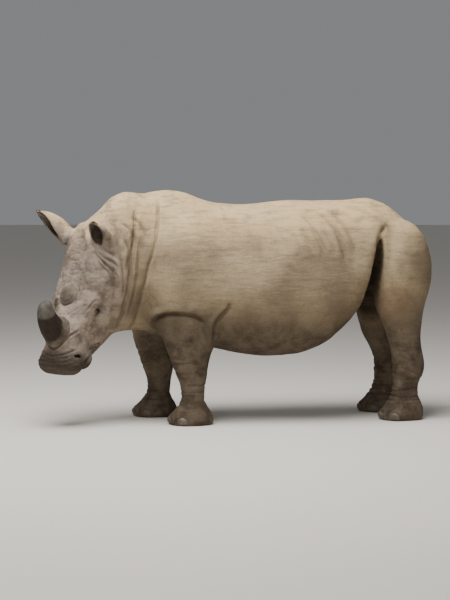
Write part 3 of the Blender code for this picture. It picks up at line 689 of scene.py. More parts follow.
# Folds of the body: depth, half width, bulge beside it and extra lift of the side on its left as
# it runs (seen from outside), in millimetres; its share on the far side; and its curve on the
# near side, in centimetres
BODY_FOLDS = (
    # before the shoulder
    (26, 12, 4, 10, 0.6,
     ((11, -92, 171), (22, -93, 162), (30, -95, 150), (34, -97, 140), (36, -100, 129), (36, -105, 111),
      (33, -108, 96), (24, -111, 81), (16, -113, 73), (5, -113, 70))),
    # behind the jaw
    (24, 12, 5, 9, 0.5,
     ((18, -110, 167), (25, -111, 158), (28, -112, 149), (30, -113, 141), (33, -115, 131),
      (34, -117, 111), (31, -120, 94), (25, -122, 81), (18, -124, 74), (8, -125, 72))),
    # pleats of the neck
    (10, 10, 4, 0, 0.6,
     ((29, -129, 145), (33, -124, 133), (34, -122, 118), (34, -121, 106), (31, -122, 93))),
    (9, 10, 4, 0, 0.6, ((33, -109, 135), (34, -110, 120), (33, -113, 100), (27, -117, 82))),
    (9, 10, 4, 0, 0.6, ((30, -121, 142), (33, -117, 130), (34, -120, 115))),
    # nape
    (7, 12, 3, 0, 0.8, ((24, -114, 158), (28, -108, 151), (32, -103, 140))),
    (7, 12, 3, 0, 0.8, ((27, -123, 153), (29, -115, 146), (32, -110, 135))),
    # hollow behind the cheek
    (14, 30, 3, 0, 0.8, ((34, -130, 124), (34, -128, 110), (32, -129, 95), (27, -130, 81))),
    # arcs below the ear
    (13, 9, 5, 0, 0.6,
     ((30, -144, 136), (31, -142, 134), (34, -136, 128), (34, -127, 122), (34, -125, 118))),
    (12, 9, 4, 0, 0.6,
     ((31, -143, 133), (32, -141, 130), (34, -135, 123), (34, -127, 115), (34, -125, 111))),
    (9, 9, 4, 0, 0.6, ((33, -140, 126), (34, -138, 122), (35, -132, 116), (34, -128, 109))),
    (8, 9, 3, 0, 0.6, ((29, -141, 140), (32, -137, 135), (33, -130, 130), (34, -125, 126))),
    # over the upper foreleg
    (36, 16, 3, 34, 1.0,
     ((17, -97, 69), (21, -98, 73), (31, -97, 80), (38, -92, 84), (42, -86, 85), (45, -79, 85),
      (46, -71, 84), (45, -63, 80), (44, -58, 77))),
    # behind the elbow
    (20, 14, 3, -6, 1.0,
     ((45, -43, 95), (45, -43, 90), (43, -48, 83), (42, -52, 78), (41, -53, 72), (36, -53, 62))),
    (6, 8, 3, 0, 1.0, ((44, -69, 73), (39, -60, 57))),
    (5, 8, 3, 0, 1.0, ((43, -74, 69), (40, -65, 54))),
    (6, 8, 3, 0, 1.0, ((45, -64, 75), (40, -56, 61))),
    (5, 8, 3, 0, 1.0, ((43, -70, 61), (40, -64, 48))),
    # before the thigh
    (18, 18, 4, 4, 1.0, ((33, 80, 150), (38, 77, 144), (40, 75, 139), (41, 73, 131))),
    # ridge over the hip
    (-22, 30, 0, 0, 1.0, ((18, 44, 164), (20, 56, 163), (28, 67, 160), (34, 79, 151), (37, 85, 142))),
    (-14, 28, 0, 0, 1.0, ((21, 32, 161), (23, 43, 160), (28, 54, 157), (35, 62, 151))),
    # beside the tail
    (14, 10, 3, 0, 1.0, ((5, 112, 137), (5, 116, 128), (5, 118, 115), (4, 118, 102))),
    # folds over the last ribs
    (7, 17, 4, 0, 1.0, ((21, 28, 161), (32, 36, 152), (40, 42, 141), (45, 45, 129), (46, 46, 119))),
    (6, 16, 3, 0, 1.0, ((21, 39, 161), (33, 46, 152), (40, 51, 141), (43, 53, 133), (44, 54, 122))),
    (5, 19, 3, 0, 1.0, ((22, 14, 160), (33, 22, 150), (40, 29, 139), (45, 33, 127))),
    # above the hock
    (5, 10, 3, 0, 1.0, ((37, 87, 52), (37, 98, 46), (36, 108, 43))),
    (5, 9, 3, 0, 1.0, ((36, 90, 43), (37, 99, 38), (36, 108, 35))),
)
# Folds of the head, on both sides: depth, half width, bulge, lift, and places along, aside and
# below, all in millimetres
HEAD_FOLDS = (
    # under the front horn
    (14, 7, 4, 0,
     ((952, 0, 35), (945, 22, 34), (931, 47, 30), (886, 88, 31), (839, 116, 45), (781, 137, 92),
      (745, 148, 130))),
    # across the muzzle
    (8, 7, 4, 0, ((1000, 0, 52), (993, 50, 55), (973, 112, 66), (930, 150, 100), (885, 158, 150))),
    (7, 6, 3, 0, ((1022, 0, 62), (1016, 60, 63), (1000, 125, 70), (985, 150, 90))),
    (6, 6, 3, 0, ((1048, 0, 70), (1044, 50, 71), (1036, 124, 72), (1000, 165, 105), (985, 169, 116))),
    (5, 6, 3, 0, ((1075, 0, 85), (1072, 60, 86), (1060, 130, 88), (1030, 172, 110))),
    # the mouth
    (22, 8, 3, 0,
     ((1090, 0, 215), (1085, 60, 215), (1060, 120, 220), (1000, 150, 245), (930, 150, 280),
      (870, 140, 300), (840, 132, 300))),
    # behind the lip
    (8, 8, 3, 0, ((870, 139, 260), (840, 136, 295), (803, 131, 332), (739, 106, 445))),
    (7, 8, 3, 0, ((855, 145, 270), (820, 135, 340), (790, 110, 400))),
    # brow
    (7, 7, 3, 0, ((690, 150, 80), (640, 168, 85), (580, 186, 95), (530, 200, 110), (505, 205, 150))),
    # below the eye
    (6, 6, 3, 0, ((650, 170, 160), (655, 172, 205), (630, 182, 250), (590, 190, 275))),
    (5, 7, 3, 0, ((690, 160, 170), (700, 160, 225), (680, 166, 280), (630, 178, 315))),
    (5, 8, 3, 0, ((740, 150, 150), (750, 150, 220), (735, 152, 290))),
    # brow to crown
    (6, 9, 3, 0, ((420, 150, 45), (330, 175, 60), (240, 190, 75))),
    (5, 9, 3, 0, ((440, 120, 40), (340, 140, 40), (230, 160, 50))),
    # round the ear's root
    (10, 10, 4, 0, ((0, 115, 10), (80, 135, 10), (135, 185, 50), (150, 215, 110))),
    (7, 9, 3, 0, ((20, 85, 0), (115, 110, 6), (180, 170, 30), (200, 210, 110))),
)
# Growth rings of skin about the rear horn: half length, half width, depth
HORN_RINGS = ((0.112, 0.099, 0.005), (0.134, 0.118, 0.005), (0.160, 0.138, 0.004))
RINGS_MIDDLE = (0.522, 0.0, 0.05)
RINGS_REACH = (0.23, 0.21, 0.12)
RINGS_WIDTH = 0.007
FOLD_FADE = 0.18        # share of a fold's run over which each end fades
FOLD_DARKEST = 0.012    # depth at which a fold's painted shade is as dark as it gets
RING_DARKEST = 0.010    # the same for the painted shade of a ring
# Pleats between the first two folds, and faint folds along the ribs: depth, half width, bulge,
# lift and share on the far side
PLEAT = (0.008, 0.009, 0.003, 0.0, 0.7)
PLEAT_SHARES = (0.12, 0.24, 0.35, 0.47, 0.58, 0.70, 0.84)
RIB = (0.0045, 0.020, 0.003, 0.0, 1.0)
RIB_COUNT = 7
RIB_FIRST = -0.12
RIB_STEP = 0.085
# Unevenness of the flesh and roughness of the hide: height, size of a lump, seed
LUMPS = ((0.0035, 0.21, 21), (0.0022, 0.11, 22), (0.0012, 0.045, 23), (0.0007, 0.024, 24))
FLANK_WRINKLE = 0.0014
HEAD_WRINKLE = 0.0030
NECK_PLEAT = 0.0042
# Rings about the legs: height, rise of the ring's outer side, depth and half width in millimetres,
# then the way its middle faces in degrees (0 is ahead, 90 is outwards) and half its sweep
LEG_RINGS = {
    "front": (
        (150, 10, 6, 8, 30, 150), (182, -8, 5, 8, 90, 120), (215, 12, 4, 8, 0, 110),
        (250, -6, 4, 8, 60, 100), (290, 10, 4, 8, 120, 80), (400, -12, 4, 9, 0, 90),
        (455, 14, 4, 9, 30, 80), (510, -10, 4, 10, 10, 80),
    ),
    "hind": (
        (150, 10, 7, 8, 30, 150), (185, -8, 7, 8, 60, 130), (220, 14, 6, 8, 0, 120),
        (262, -20, 6, 9, 50, 110), (310, 12, 4, 9, 90, 100), (360, -20, 5, 10, 0, 80),
        (420, 15, 4, 10, 20, 70),
    ),
}


def curve_through(places, spacing=0.012, waver=0.004):
    """A smooth run of points through a few, wandering a little as skin does."""
    places = np.asarray(places, float)
    run = np.concatenate([[0], np.cumsum(np.linalg.norm(np.diff(places, axis=0), axis=1))])
    at = np.linspace(0, run[-1], max(4, round(run[-1] / spacing)) + 1)
    line = np.stack(read(np.column_stack((run, places)), at), axis=1)
    wander = np.stack([noise(line, 0.07, seed) for seed in (1, 2, 3)], axis=1)
    return line + wander * waver


def across_body(curve):
    """The same curve on the animal's other side, beyond the trunk's own middle line."""
    curve = np.array(curve)
    middle = read(np.array(TRUNK)[:, :2], curve[:, 1])[0]
    return np.column_stack((2 * middle - curve[:, 0], curve[:, 1:]))


def between(first, second, share):
    """A curve part of the way from one fold to the next."""
    ends = []
    for places in (first, second):
        line = curve_through(places, waver=0)
        at = np.linspace(0, len(line) - 1, 9)
        ends.append(np.stack([np.interp(at, range(len(line)), axis) for axis in line.T], axis=1))
    return ends[0] * (1 - share) + ends[1] * share


def all_folds():
    """Every fold as depth, half width, bulge, lift and its run of points on the skin."""
    rows = [(*(size / 1000 for size in sizes), far, np.array(places) / 100)
            for *sizes, far, places in BODY_FOLDS]
    shoulder, jaw = rows[0][-1], rows[1][-1]
    for share in PLEAT_SHARES:
        rows.append((*PLEAT, between(shoulder, jaw, share)[2:8]))
    for step in range(RIB_COUNT):
        y, sink = RIB_FIRST + RIB_STEP * step, 0.02 * (step % 3)
        rows.append((*RIB, ((0.34, y, 1.50 - sink), (0.43, y + 0.05, 1.38),
                            (0.47, y + 0.08, 1.24 + sink))))
    folds = []
    for depth, width, bulge, lift, far, places in rows:
        folds.append((depth, width, bulge, lift, curve_through(places)))
        other = curve_through(across_body(places)[::-1])
        folds.append((depth * far, width, bulge * far, lift * far, other))
    for *sizes, places in HEAD_FOLDS:
        near = np.array(places) / 1000
        far = (near * (1, -1, 1))[::-1]
        # a fold that starts on the middle line runs on over it
        lines = (near, far) if near[0, 1] else (np.concatenate((far[:-1], near)),)
        folds += [(*(size / 1000 for size in sizes), curve_through(on_head(line), 0.006, 0.002))
                  for line in lines]
    return folds


def near_fold(points, normals, line):
    """Each point's distance from a line in the skin, signed by its side, and its share along."""
    best = np.full(len(points), np.inf)
    signed, share = best.copy(), np.zeros(len(points))
    for index, (start, end) in enumerate(zip(line, line[1:])):
        run = end - start
        reach = points - start
        along = np.clip(reach @ run / (run @ run), 0, 1)
        reach = reach - along[:, None] * run
        rise = (reach * normals).sum(axis=1)
        flat = np.maximum((reach ** 2).sum(axis=1) - rise ** 2, 0) + 0.1 * rise ** 2
        closer = flat < best
        best[closer] = flat[closer]
        side = (np.cross(normals[closer], run) * reach[closer]).sum(axis=1)
        signed[closer] = np.sqrt(flat[closer]) * np.where(side >= 0, 1, -1)
        share[closer] = (index + along[closer]) / (len(line) - 1)
    return signed, share


def fold_heights(points, normals):
    """What the folds add along each point's normal, and the shade painted in each fold's groove."""
    height, shade = np.zeros(len(points)), np.zeros(len(points))
    for depth, width, bulge, lift, line in FOLDS:
        reach = 8 * width
        near = (points > line.min(axis=0) - reach) & (points < line.max(axis=0) + reach)
        near = np.flatnonzero(near.all(axis=1))
        if not len(near):
            continue
        off, share = near_fold(points[near], normals[near], line)
        fade = ease(0, FOLD_FADE, share) * ease(0, FOLD_FADE, 1 - share)
        fade *= np.clip(0.85 + 0.55 * noise(points[near], 0.08, 15), 0.3, 1.15)
        size = np.abs(off) / width
        dip = groove(size)
        rise = bulge * bell(size, 2.4, 1.5)
        rise += lift * ease(-0.3, 1.2, off / width) * bell(size, 0, 4.5)
        height[near] += fade * (rise - depth * dip)
        # painted shade in the groove, darker where the fold is deeper
        if depth > 0:
            shade[near] = np.maximum(shade[near], fade * dip ** 2 * min(1, depth / FOLD_DARKEST))
    return height, shade


def ring_heights(points):
    """Shallow rings about the lower legs, and about the rear horn's root."""
    height, shade = np.zeros(len(points)), np.zeros(len(points))

    def press(near, off, depth, fade, bulge):
        """Adds one ring by the distance off its line in half widths, with a bulge on both sides and painted
        shade in its groove.
        """
        share, middle, width = bulge
        dip = groove(off) * fade
        height[near] += depth * (share * bell(np.abs(off), middle, width) * fade - dip)
        # painted shade in the ring's groove
        shade[near] = np.maximum(shade[near], dip * depth / RING_DARKEST)

    for name, line in LEG_LINES.items():
        pair, side = name.split("_")
        out = 1 if side == "left" else -1
        x, y = read(line, points[:, 2])
        near = (points[:, 2] < 0.6) & (np.hypot(points[:, 0] - x, points[:, 1] - y) < 0.24)
        place = points[near]
        turn = np.degrees(np.arctan2((place[:, 0] - x[near]) * out, y[near] - place[:, 1]))
        wander = 0.006 * noise(place, 0.05, 11)
        for *sizes, facing, sweep in LEG_RINGS[pair]:
            level, rise, depth, width = (size / 1000 for size in sizes)
            centre = level + rise * np.sin(np.radians(turn)) + wander
            away = np.abs((turn - facing + 180) % 360 - 180)
            fade = 1 - ease(sweep * 0.6, sweep, away)
            press(near, (place[:, 2] - centre) / width, depth, fade, (0.35, 2.2, 1.3))
    place = to_head(points) - RINGS_MIDDLE
    near = np.flatnonzero((np.abs(place) < RINGS_REACH).all(axis=1))
    along, aside, _ = place[near].T
    wander = 1 + 0.07 * noise(points[near], 0.035, 12) + 0.08 * noise(points[near], 0.11, 13)
    broken = ease(-0.35, 0.35, noise(points[near], 0.05, 14))
    for long, wide, depth in HORN_RINGS:
        away = (np.hypot(along / long, aside / wide) * wander - 1) * (long + wide) / 2
        press(near, away / RINGS_WIDTH, depth, broken, (0.4, 2.4, 1.5))
    return height, shade


def lumps(points):
    """Broad unevenness of the flesh and small roughness of the hide, less on the head."""
    _, y, z = points.T
    calm = 1 - 0.45 * ease(-1.15, -1.45, y)
    rough = sum(depth * noise(points, size, seed) for depth, size, seed in LUMPS)
    # long level wrinkles of the flank, finer than any fold
    place = points * (6.0, 5.0, 38.0) + 0.6 * noise(points, 0.2, 25)[:, None]
    flank = ease(0.48, 0.75, z) * ease(-1.0, -0.75, y)
    level = FLANK_WRINKLE * noise(place, 1.0, 26) * flank
    # short wrinkles across the head
    across = np.abs(noise(to_head(points) * (26.0, 11.0, 11.0), 1.0, 27))
    wrinkles = -HEAD_WRINKLE * (1 - ease(0.0, 0.2, across)) * ease(-1.1, -1.35, y)
    # fine pleats that run down the neck, leaning forwards
    place = (points - points[:, 2:] * (0, 0.22, 0)) * (24.0, 24.0, 3.2)
    across = np.abs(noise(place, 1.0, 28))
    neck = ease(*NECK_FADE, y) * ease(-1.42, -1.28, y) * ease(1.6, 1.4, z)
    pleats = -NECK_PLEAT * (1 - ease(0.0, 0.22, across)) * neck
    return rough * calm + level + wrinkles + pleats


FOLDS = all_folds()


def eye_frame(side):
    """The eyeball's middle in the working frame; then axes along the lids, up, and outwards."""
    low, high = (np.array(corner) for corner in EYE_BOXES[side])
    out = unit(side * ASIDE - 0.08 * ALONG + 0.36 * OUT)
    ahead = unit(ALONG + 0.10 * OUT)
    ahead = unit(ahead - out * (ahead @ out))
    up = np.cross(out, ahead) * side
    return (low + high) / 2 - SHIFT, ahead, unit(up), out


def shape_lids(points, side):
    """Opens the lids round an eyeball: an almond sunk behind the ball, rims lying on the ball,
    and round creases outside them. It returns the points and the shade painted in the opening and round the
    eye."""
    middle, ahead, up, out = eye_frame(side)
    reach = points - middle
    near = np.flatnonzero((np.linalg.norm(reach, axis=1) < LID_REACH) & (reach @ out > -0.012))
    across, rise, height = (reach[near] @ np.transpose((ahead, up, out))).T
    rise_from = rise - LID_DROOP * across / LID_LONG
    tall = np.where(rise_from > 0, LID_UP, LID_DOWN)
    scale = ((np.abs(across) / LID_LONG) ** LID_POWER
             + (np.abs(rise_from) / tall) ** LID_POWER) ** (1 / LID_POWER)
    flat = np.hypot(across, rise)
    ball = np.sqrt(LID_BALL ** 2 - np.minimum(flat, 0.75 * LID_BALL) ** 2)
    sunk = np.sqrt(np.maximum((EYE_RADIUS - 0.004) ** 2 - flat ** 2, 0)) * 0.4
    lid = 1 - ease(1.15, 2.9, scale)
    level = height * (1 - lid) + ball * lid + LID_RIM * bell(scale, 1.22, 0.16)
    for at, deep in LID_CREASES:
        level -= deep * groove((scale - at) / 0.13)
        level += deep * 0.4 * bell(np.abs(scale - at), 0.3, 0.16)
    inside = 1 - ease(0.86, 1.02, scale)
    level = level * (1 - inside) + sunk * inside
    fade = 1 - ease(LID_REACH * 0.72, LID_REACH * 0.98, np.linalg.norm(reach[near], axis=1))
    points = points.copy()
    points[near] += ((level - height) * fade)[:, None] * out
    # painted shade between the lids and in a soft patch round the eye
    eye_shade = np.zeros(len(points))
    around = bell(across, 0.012, 0.045) * bell(rise, 0, 0.022)
    eye_shade[near] = np.maximum(1 - ease(0.9, 1.25, scale), 0.62 * around)
    return points, eye_shade


# ---- The skin ------------------------------------------------------------------------------


def ear_share(points):
    """1 on the leaf of either ear and 0 elsewhere, then the shade painted inside its cup, darkest near the
    root.
    """
    leaf, cup = np.zeros(len(points)), np.zeros(len(points))
    for name in EARS:
        base, point, mouth, across = ear_axes(name)
        ahead, side, rise = ((points - base) @ np.transpose((mouth, across, point))).T
        share = np.clip((rise + EAR_ROOT) / (EAR_LENGTH + EAR_ROOT), 0, 1)
        radius, _, _ = read(EAR_ROLL, share)
        from_axis = np.hypot(ahead - EAR_BEND * share * share, side)
        near = (rise > -0.02) & (rise < EAR_LENGTH + 0.03) & (from_axis < radius + 0.05)
        here = ease(0.015, 0.06, rise) * near
        leaf = np.maximum(leaf, here)
        # painted shade inside the cup, darkest near the root
        inner = (from_axis < radius) & (rise > 0.0) & near
        cup = np.maximum(cup, inner * (0.8 - 0.55 * ease(0.45, 1.0, share)))
    return leaf, cup


def toe_relief(points):
    """Clefts between the toes, and a bed with a raised edge round each nail; then the shade painted in the
    clefts and along each nail's edge.
    """
    height, shade = np.zeros(len(points)), np.zeros(len(points))
    for name, line in LEG_LINES.items():
        _, x, y = line[0]
        near = np.flatnonzero((points[:, 2] < 0.14)
                              & (np.hypot(points[:, 0] - x, points[:, 1] - y) < 0.26))
        place = points[near]
        away, beds = [], np.full(len(place), FAR_OFF)
        for toe, (_, (wide, deep, tall)) in enumerate(TOES):
            middle = toe_centre(name, toe)
            away.append(ellipsoid(place, middle, (wide, deep, tall)))
            turn = np.degrees(np.arctan2((place[:, 0] - middle[0]) / wide,
                                         (middle[1] - place[:, 1]) / deep))
            across = (turn - nail_facing(toe)) / NAIL_SWEEP[toe]
            top = NAIL_HEIGHT * (1 - NAIL_ARC * np.minimum(across * across, 1.3))
            here = np.maximum(np.abs(across), place[:, 2] / top)
            beds = np.minimum(beds, np.where(np.abs(away[-1]) < 0.05, here, FAR_OFF))
        nearest = np.sort(np.array(away), axis=0)
        cleft = bell(nearest[1] - nearest[0], 0, 0.010)
        cleft *= (1 - ease(0.070, 0.115, place[:, 2])) * (nearest[0] < 0.02)
        height[near] = (-CLEFT_DEPTH * cleft - BED_DEPTH * (1 - ease(0.86, 1.04, beds))
                        + BED_EDGE * bell(beds, 1.16, 0.10))
        # painted shade in the clefts and at the edge of each nail's bed
        shade[near] = np.maximum(cleft, 0.7 * bell(beds, 1.02, 0.06))
    return height, shade


def near_stub(points):
    """1 on the broken stub beside the rear horn, falling to 0 round it."""
    middle, radius, _ = STUB
    away = np.linalg.norm(points - on_head(middle), axis=1)
    return 1 - ease(0.35, 1.0, away / radius * (1 + 0.25 * noise(points, 0.018, 71)))


def share_from(points, middle, sizes):
    """Distance from a middle, each axis measured in its own size."""
    return np.linalg.norm((points - middle) / sizes, axis=1)


def mesh_of(name, points, faces):
    mesh = bpy.data.meshes.new(name)
    mesh.from_pydata(points, [], faces)
    mesh.update()
    return mesh


def vectors_of(items, field):
    """A vector property of every vertex or normal of a mesh, as one row each."""
    values = np.empty(len(items) * 3, np.float32)
    items.foreach_get(field, values)
    return values.reshape(-1, 3).astype(float)


def points_of(mesh):
    return vectors_of(mesh.vertices, "co")


def normals_of(mesh):
    return vectors_of(mesh.vertex_normals, "vector")


def move_to(mesh, points):
    mesh.vertices.foreach_set("co", np.asarray(points, np.float32).ravel())
    mesh.update()


def refine(mesh, middle, reach):
    """Halves every edge of the mesh whose middle lies this near a place."""
    ends = np.empty(len(mesh.edges) * 2, np.int32)
    mesh.edges.foreach_get("vertices", ends)
    centres = points_of(mesh)[ends.reshape(-1, 2)].mean(axis=1)
    chosen = np.flatnonzero(np.linalg.norm(centres - middle, axis=1) < reach)
    shape = bmesh.new()
    shape.from_mesh(mesh)
    shape.edges.ensure_lookup_table()
    bmesh.ops.subdivide_edges(shape, edges=[shape.edges[i] for i in chosen], cuts=1,
                              use_grid_fill=True)
    shape.to_mesh(mesh)
    shape.free()


def skin_mesh(step, rounds, strength):
    """The skin in the working frame: the net settled on the field, refined round the eyes,
    then every vertex moved along its normal by folds, rings, toes and lumps."""
    points, quads = draw_net(step)
    edges = np.concatenate([quads[:, [i, (i + 1) % 4]] for i in range(4)])
    edges = np.unique(np.sort(edges, axis=1), axis=0)
    points = settle(points, edges, rounds)
    mesh = mesh_of("skin", points.tolist(), quads.tolist())
    for side, reach in itertools.product((1, -1), EYE_REFINED):
        refine(mesh, eye_frame(side)[0], reach)
    points = points_of(mesh)
    normals = normals_of(mesh)
    leaf, _ = ear_share(points)
    height = fold_heights(points, normals)[0] + ring_heights(points)[0] + lumps(points)
    height = (height * strength + toe_relief(points)[0]) * (1 - 0.9 * leaf)
    height += STUB[2] * near_stub(points)
    for side in (1, -1):
        near = np.linalg.norm(points - eye_frame(side)[0], axis=1)
        height *= 1 - 0.8 * (1 - ease(*EYE_CALM, near))
    height *= ease(0.0, SOLE_FADE, points[:, 2])
    points = points + height[:, None] * normals
    for side in (1, -1):
        points, _ = shape_lids(points, side)
    points[:, 2] = np.maximum(points[:, 2], 0)
    move_to(mesh, points)
    return mesh


def thin(made, triangles):
    """Collapses the edges that matter least until about this many triangles are left."""
    made.data.calc_loop_triangles()
    whole = len(made.data.loop_triangles)
    if whole <= triangles:
        return
    reduce = made.modifiers.new("Thin", "DECIMATE")
    reduce.ratio = triangles / whole
    reduce.use_collapse_triangulate = True
    apply_modifiers(made)


def apply_modifiers(made):
    """Puts the mesh that the modifiers make in the old one's place."""
    found = bpy.context.evaluated_depsgraph_get()
    mesh = bpy.data.meshes.new_from_object(made.evaluated_get(found))
    made.modifiers.clear()
    old = made.data
    made.data = mesh
    bpy.data.meshes.remove(old)


def looks_of_skin(points, normals):
    """What the hide's shader reads at each vertex, by name: 0 to 1, and more for the painted shade below.
    """
    place = to_head(points)
    place[:, 1] = np.abs(place[:, 1])
    _, y, z = points.T
    slope = normals[:, 2]
    relief = (fold_heights(points, normals), ring_heights(points), toe_relief(points))
    leaf, cup = ear_share(points)
    # painted shade in and round each eye
    eye_shade = sum(shape_lids(points, side)[1] for side in (1, -1))
    # painted shade in the nostrils, on and round the stub beside the rear horn, and in the gaps before the
    # thighs
    hollow_shades = [1 - ease(-0.001, 0.006, ellipsoid(place, *pit)) for pit in PITS]
    hollow_shades += [0.85 * near_stub(points), 0.9 * (1 - ease(-0.004, 0.012, in_gaps(points)))]
    broad = noise(points, 0.35, 31)
    head_part = ease(-1.12, -1.36, y + 0.05 * broad)
    leg_part = (1 - ease(0.55, 0.95, z + 0.06 * broad)) * (1 - head_part)
    # painted shade: on faces turned down, low on the body and in the groin, less on the legs and little on
    # the neck and head
    below = ease(-0.15, -0.8, slope) * (1 - leg_part * 0.6)
    below = np.maximum(below, 0.75 * ease(1.2, 0.55, z + 0.1 * broad))
    below *= 1 - 0.9 * ease(-0.95, -1.1, y)
    groin = 1 - ease(0.5, 1.3, share_from(points, *GROIN_SHADE))
    below = np.maximum(below, BELOW_MOST * groin)
    looks = {
        # painted shade in the grooves of folds and rings, in the toe clefts and at the nails' edges
        "fold": np.maximum.reduce([shade for _, shade in relief]).clip(0, 1) * (1 - leaf),
        # painted shade in the ear cups, the eye openings, the nostrils, round the stub and in the thigh
        # gaps
        "dark": np.maximum.reduce([cup, eye_shade, *hollow_shades]),
        "head": head_part,
        "leg": leg_part,
        # dust on high faces turned up, also a painted light from above
        "above": ease(-0.1, 0.85, slope) * ease(1.2, 1.6, z),
        # painted shade under the body
        "below": below,
        "stain": sum(share * bell(share_from(points, *spot), 0, 1) for share, *spot in STAINS),
        "muzzle": ease(0.86, 1.06, place[:, 0] + 0.25 * place[:, 2]) * head_part,
        "neck": ease(*NECK_FADE, y) * (1 - head_part),
    }
    return {name: np.clip(value, 0, BELOW_MOST if name == "below" else 1)
            for name, value in looks.items()}


def add_looks(mesh, looks):
    """Stores each look as a number at every vertex, under its name."""
    for name, values in looks.items():
        layer = mesh.attributes.new(name, "FLOAT", "POINT")
        layer.data.foreach_set("value", np.asarray(values, np.float32))


# ---- The other pieces: grids of two parameters ---------------------------------------------


def grid_faces(rows, columns, wrap):
    """The quads of a grid of points stored row by row; wrap joins each row's end to its start."""
    row, column = np.meshgrid(range(rows - 1), range(columns if wrap else columns - 1),
                              indexing="ij")
    along = (column + 1) % columns
    return np.stack((row * columns + column, row * columns + along,
                     (row + 1) * columns + along, (row + 1) * columns + column),
                    axis=-1).reshape(-1, 4)


def fans(start, columns, pole, outward):
    """Triangles from a ring of points to the one point that closes it."""
    ring = start + np.arange(columns)
    after = np.roll(ring, -1)
    first, last = (after, ring) if outward else (ring, after)
    return np.column_stack((first, last, np.full(columns, pole)))


def closed_faces(rows, columns, reverse):
    """The faces of rings of points: quads between them, and fans from the first ring and the last
    to the two poles, whose points follow the rings."""
    count = rows * columns
    quads = grid_faces(rows, columns, True)
    return ((quads[:, ::-1] if reverse else quads).tolist()
            + fans(0, columns, count, not reverse).tolist()
            + fans(count - columns, columns, count + 1, reverse).tolist())


def linked(name, data):
    """A new object in the scene."""
    made = bpy.data.objects.new(name, data)
    bpy.context.scene.collection.objects.link(made)
    return made


def new_piece(name, points, faces, slot, material, nodes=()):
    """A finished object: made in the working frame, shown in the model's."""
    mesh = mesh_of(name, (np.asarray(points) + SHIFT).tolist(), faces)
    return finish_piece(name, mesh, material, nodes)


def smooth(mesh):
    mesh.polygons.foreach_set("use_smooth", np.ones(len(mesh.polygons), bool))


def finish_piece(name, mesh, material, nodes=()):
    """A finished object from a mesh in the model's frame: smooth, with its material, under the root, and
    the nodes it replaces hidden.
    """
    made = linked(name, mesh)
    smooth(mesh)
    mesh.materials.append(material)
    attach(made, "root")
    if nodes:
        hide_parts(*nodes)
    return made


def eyeball(side, rows=24, columns=32):
    """A sphere whose pole looks out: a ring for each angle from the pole, a turn for each column.
    It also returns how far each point lies from the line of sight: a share of the radius before
    the middle, and 1 behind it."""
    middle, ahead, up, out = eye_frame(side)
    tilt, turn = np.meshgrid(np.linspace(0, math.pi, rows + 2)[1:-1],
                             np.linspace(0, 2 * math.pi, columns, endpoint=False), indexing="ij")
    tilt, turn = tilt.ravel(), turn.ravel()
    way = np.outer(np.sin(tilt) * np.cos(turn), ahead)
    way += np.outer(np.sin(tilt) * np.sin(turn), up) * side + np.outer(np.cos(tilt), out)
    way = np.concatenate((way, [out, -out]))
    swell = 1 + CORNEA_SWELL * bell(np.arccos(np.clip(way @ out, -1, 1)), 0, CORNEA_ANGLE)
    points = middle + way * (swell * (EYE_RADIUS - EYE_CLEARANCE))[:, None]
    flat = np.hypot(way @ ahead / 1.25, way @ up)
    gaze = np.where(way @ out > 0, flat, 1.0)
    return points, closed_faces(rows, columns, True), gaze


def horn(place, lean, table, rows, columns, rough, combed=1.0):
    """A horn stub: ellipses strung on a path that bends back as it rises, their radii swelling and
    sinking by fibres that run up the horn and by rings of growth. It returns the points and faces,
    then each point's height up the horn and how far it faces backwards."""
    tall = table[-1][0]
    at = table[0][0] + (tall - table[0][0]) * (1 - (1 - np.linspace(0, 1, rows)) ** 1.5)
    long, wide = read(table, at)
    share = np.maximum(at, 0) / tall
    swept = lean * (0.6 * share + 0.4 * share * share)
    face = lean * (0.6 + 0.8 * share) * np.minimum(1, share * 3)
    middle = on_head(place) + at[:, None] * (np.outer(np.cos(swept), OUT)
                                            - np.outer(np.sin(swept), ALONG))
    normal = np.outer(np.cos(face), OUT) - np.outer(np.sin(face), ALONG)
    ahead = np.cross(ASIDE, normal)
    turn = np.linspace(0, 2 * math.pi, columns, endpoint=False)
    around = np.stack(np.broadcast_arrays(4.5 * np.cos(turn), 4.5 * np.sin(turn),
                                          at[:, None] * 9), axis=-1).reshape(-1, 3)
    fibres = (combed * noise(around * (3.2, 3.2, 0.55), 1.0, 41)
              + 0.6 * combed * noise(around * (7, 7, 0.9), 1.0, 42)
              + (1.5 - combed) * noise(around * (0.6, 0.6, 3.2), 1.0, 43))
    swell = np.repeat(rough(share), columns) * fibres
    radius = np.stack((np.repeat(long, columns), np.repeat(wide, columns)), axis=1)
    radius = radius + np.minimum(swell, 0.4 * radius[:, 1])[:, None]
    points = (np.repeat(middle, columns, axis=0)
              + radius[:, :1] * np.tile(np.cos(turn), rows)[:, None] * np.repeat(ahead, columns, 0)
              + radius[:, 1:] * np.tile(np.sin(turn), rows)[:, None] * ASIDE)
    points = np.concatenate((points, middle[:1], middle[-1:] + 0.002 * normal[-1:]))
    height = np.concatenate((np.repeat(at, columns), at[:1], at[-1:]))
    back = np.concatenate((np.tile(-np.cos(turn), rows), (0, 0)))
    return points, closed_faces(rows, columns, False), height, back


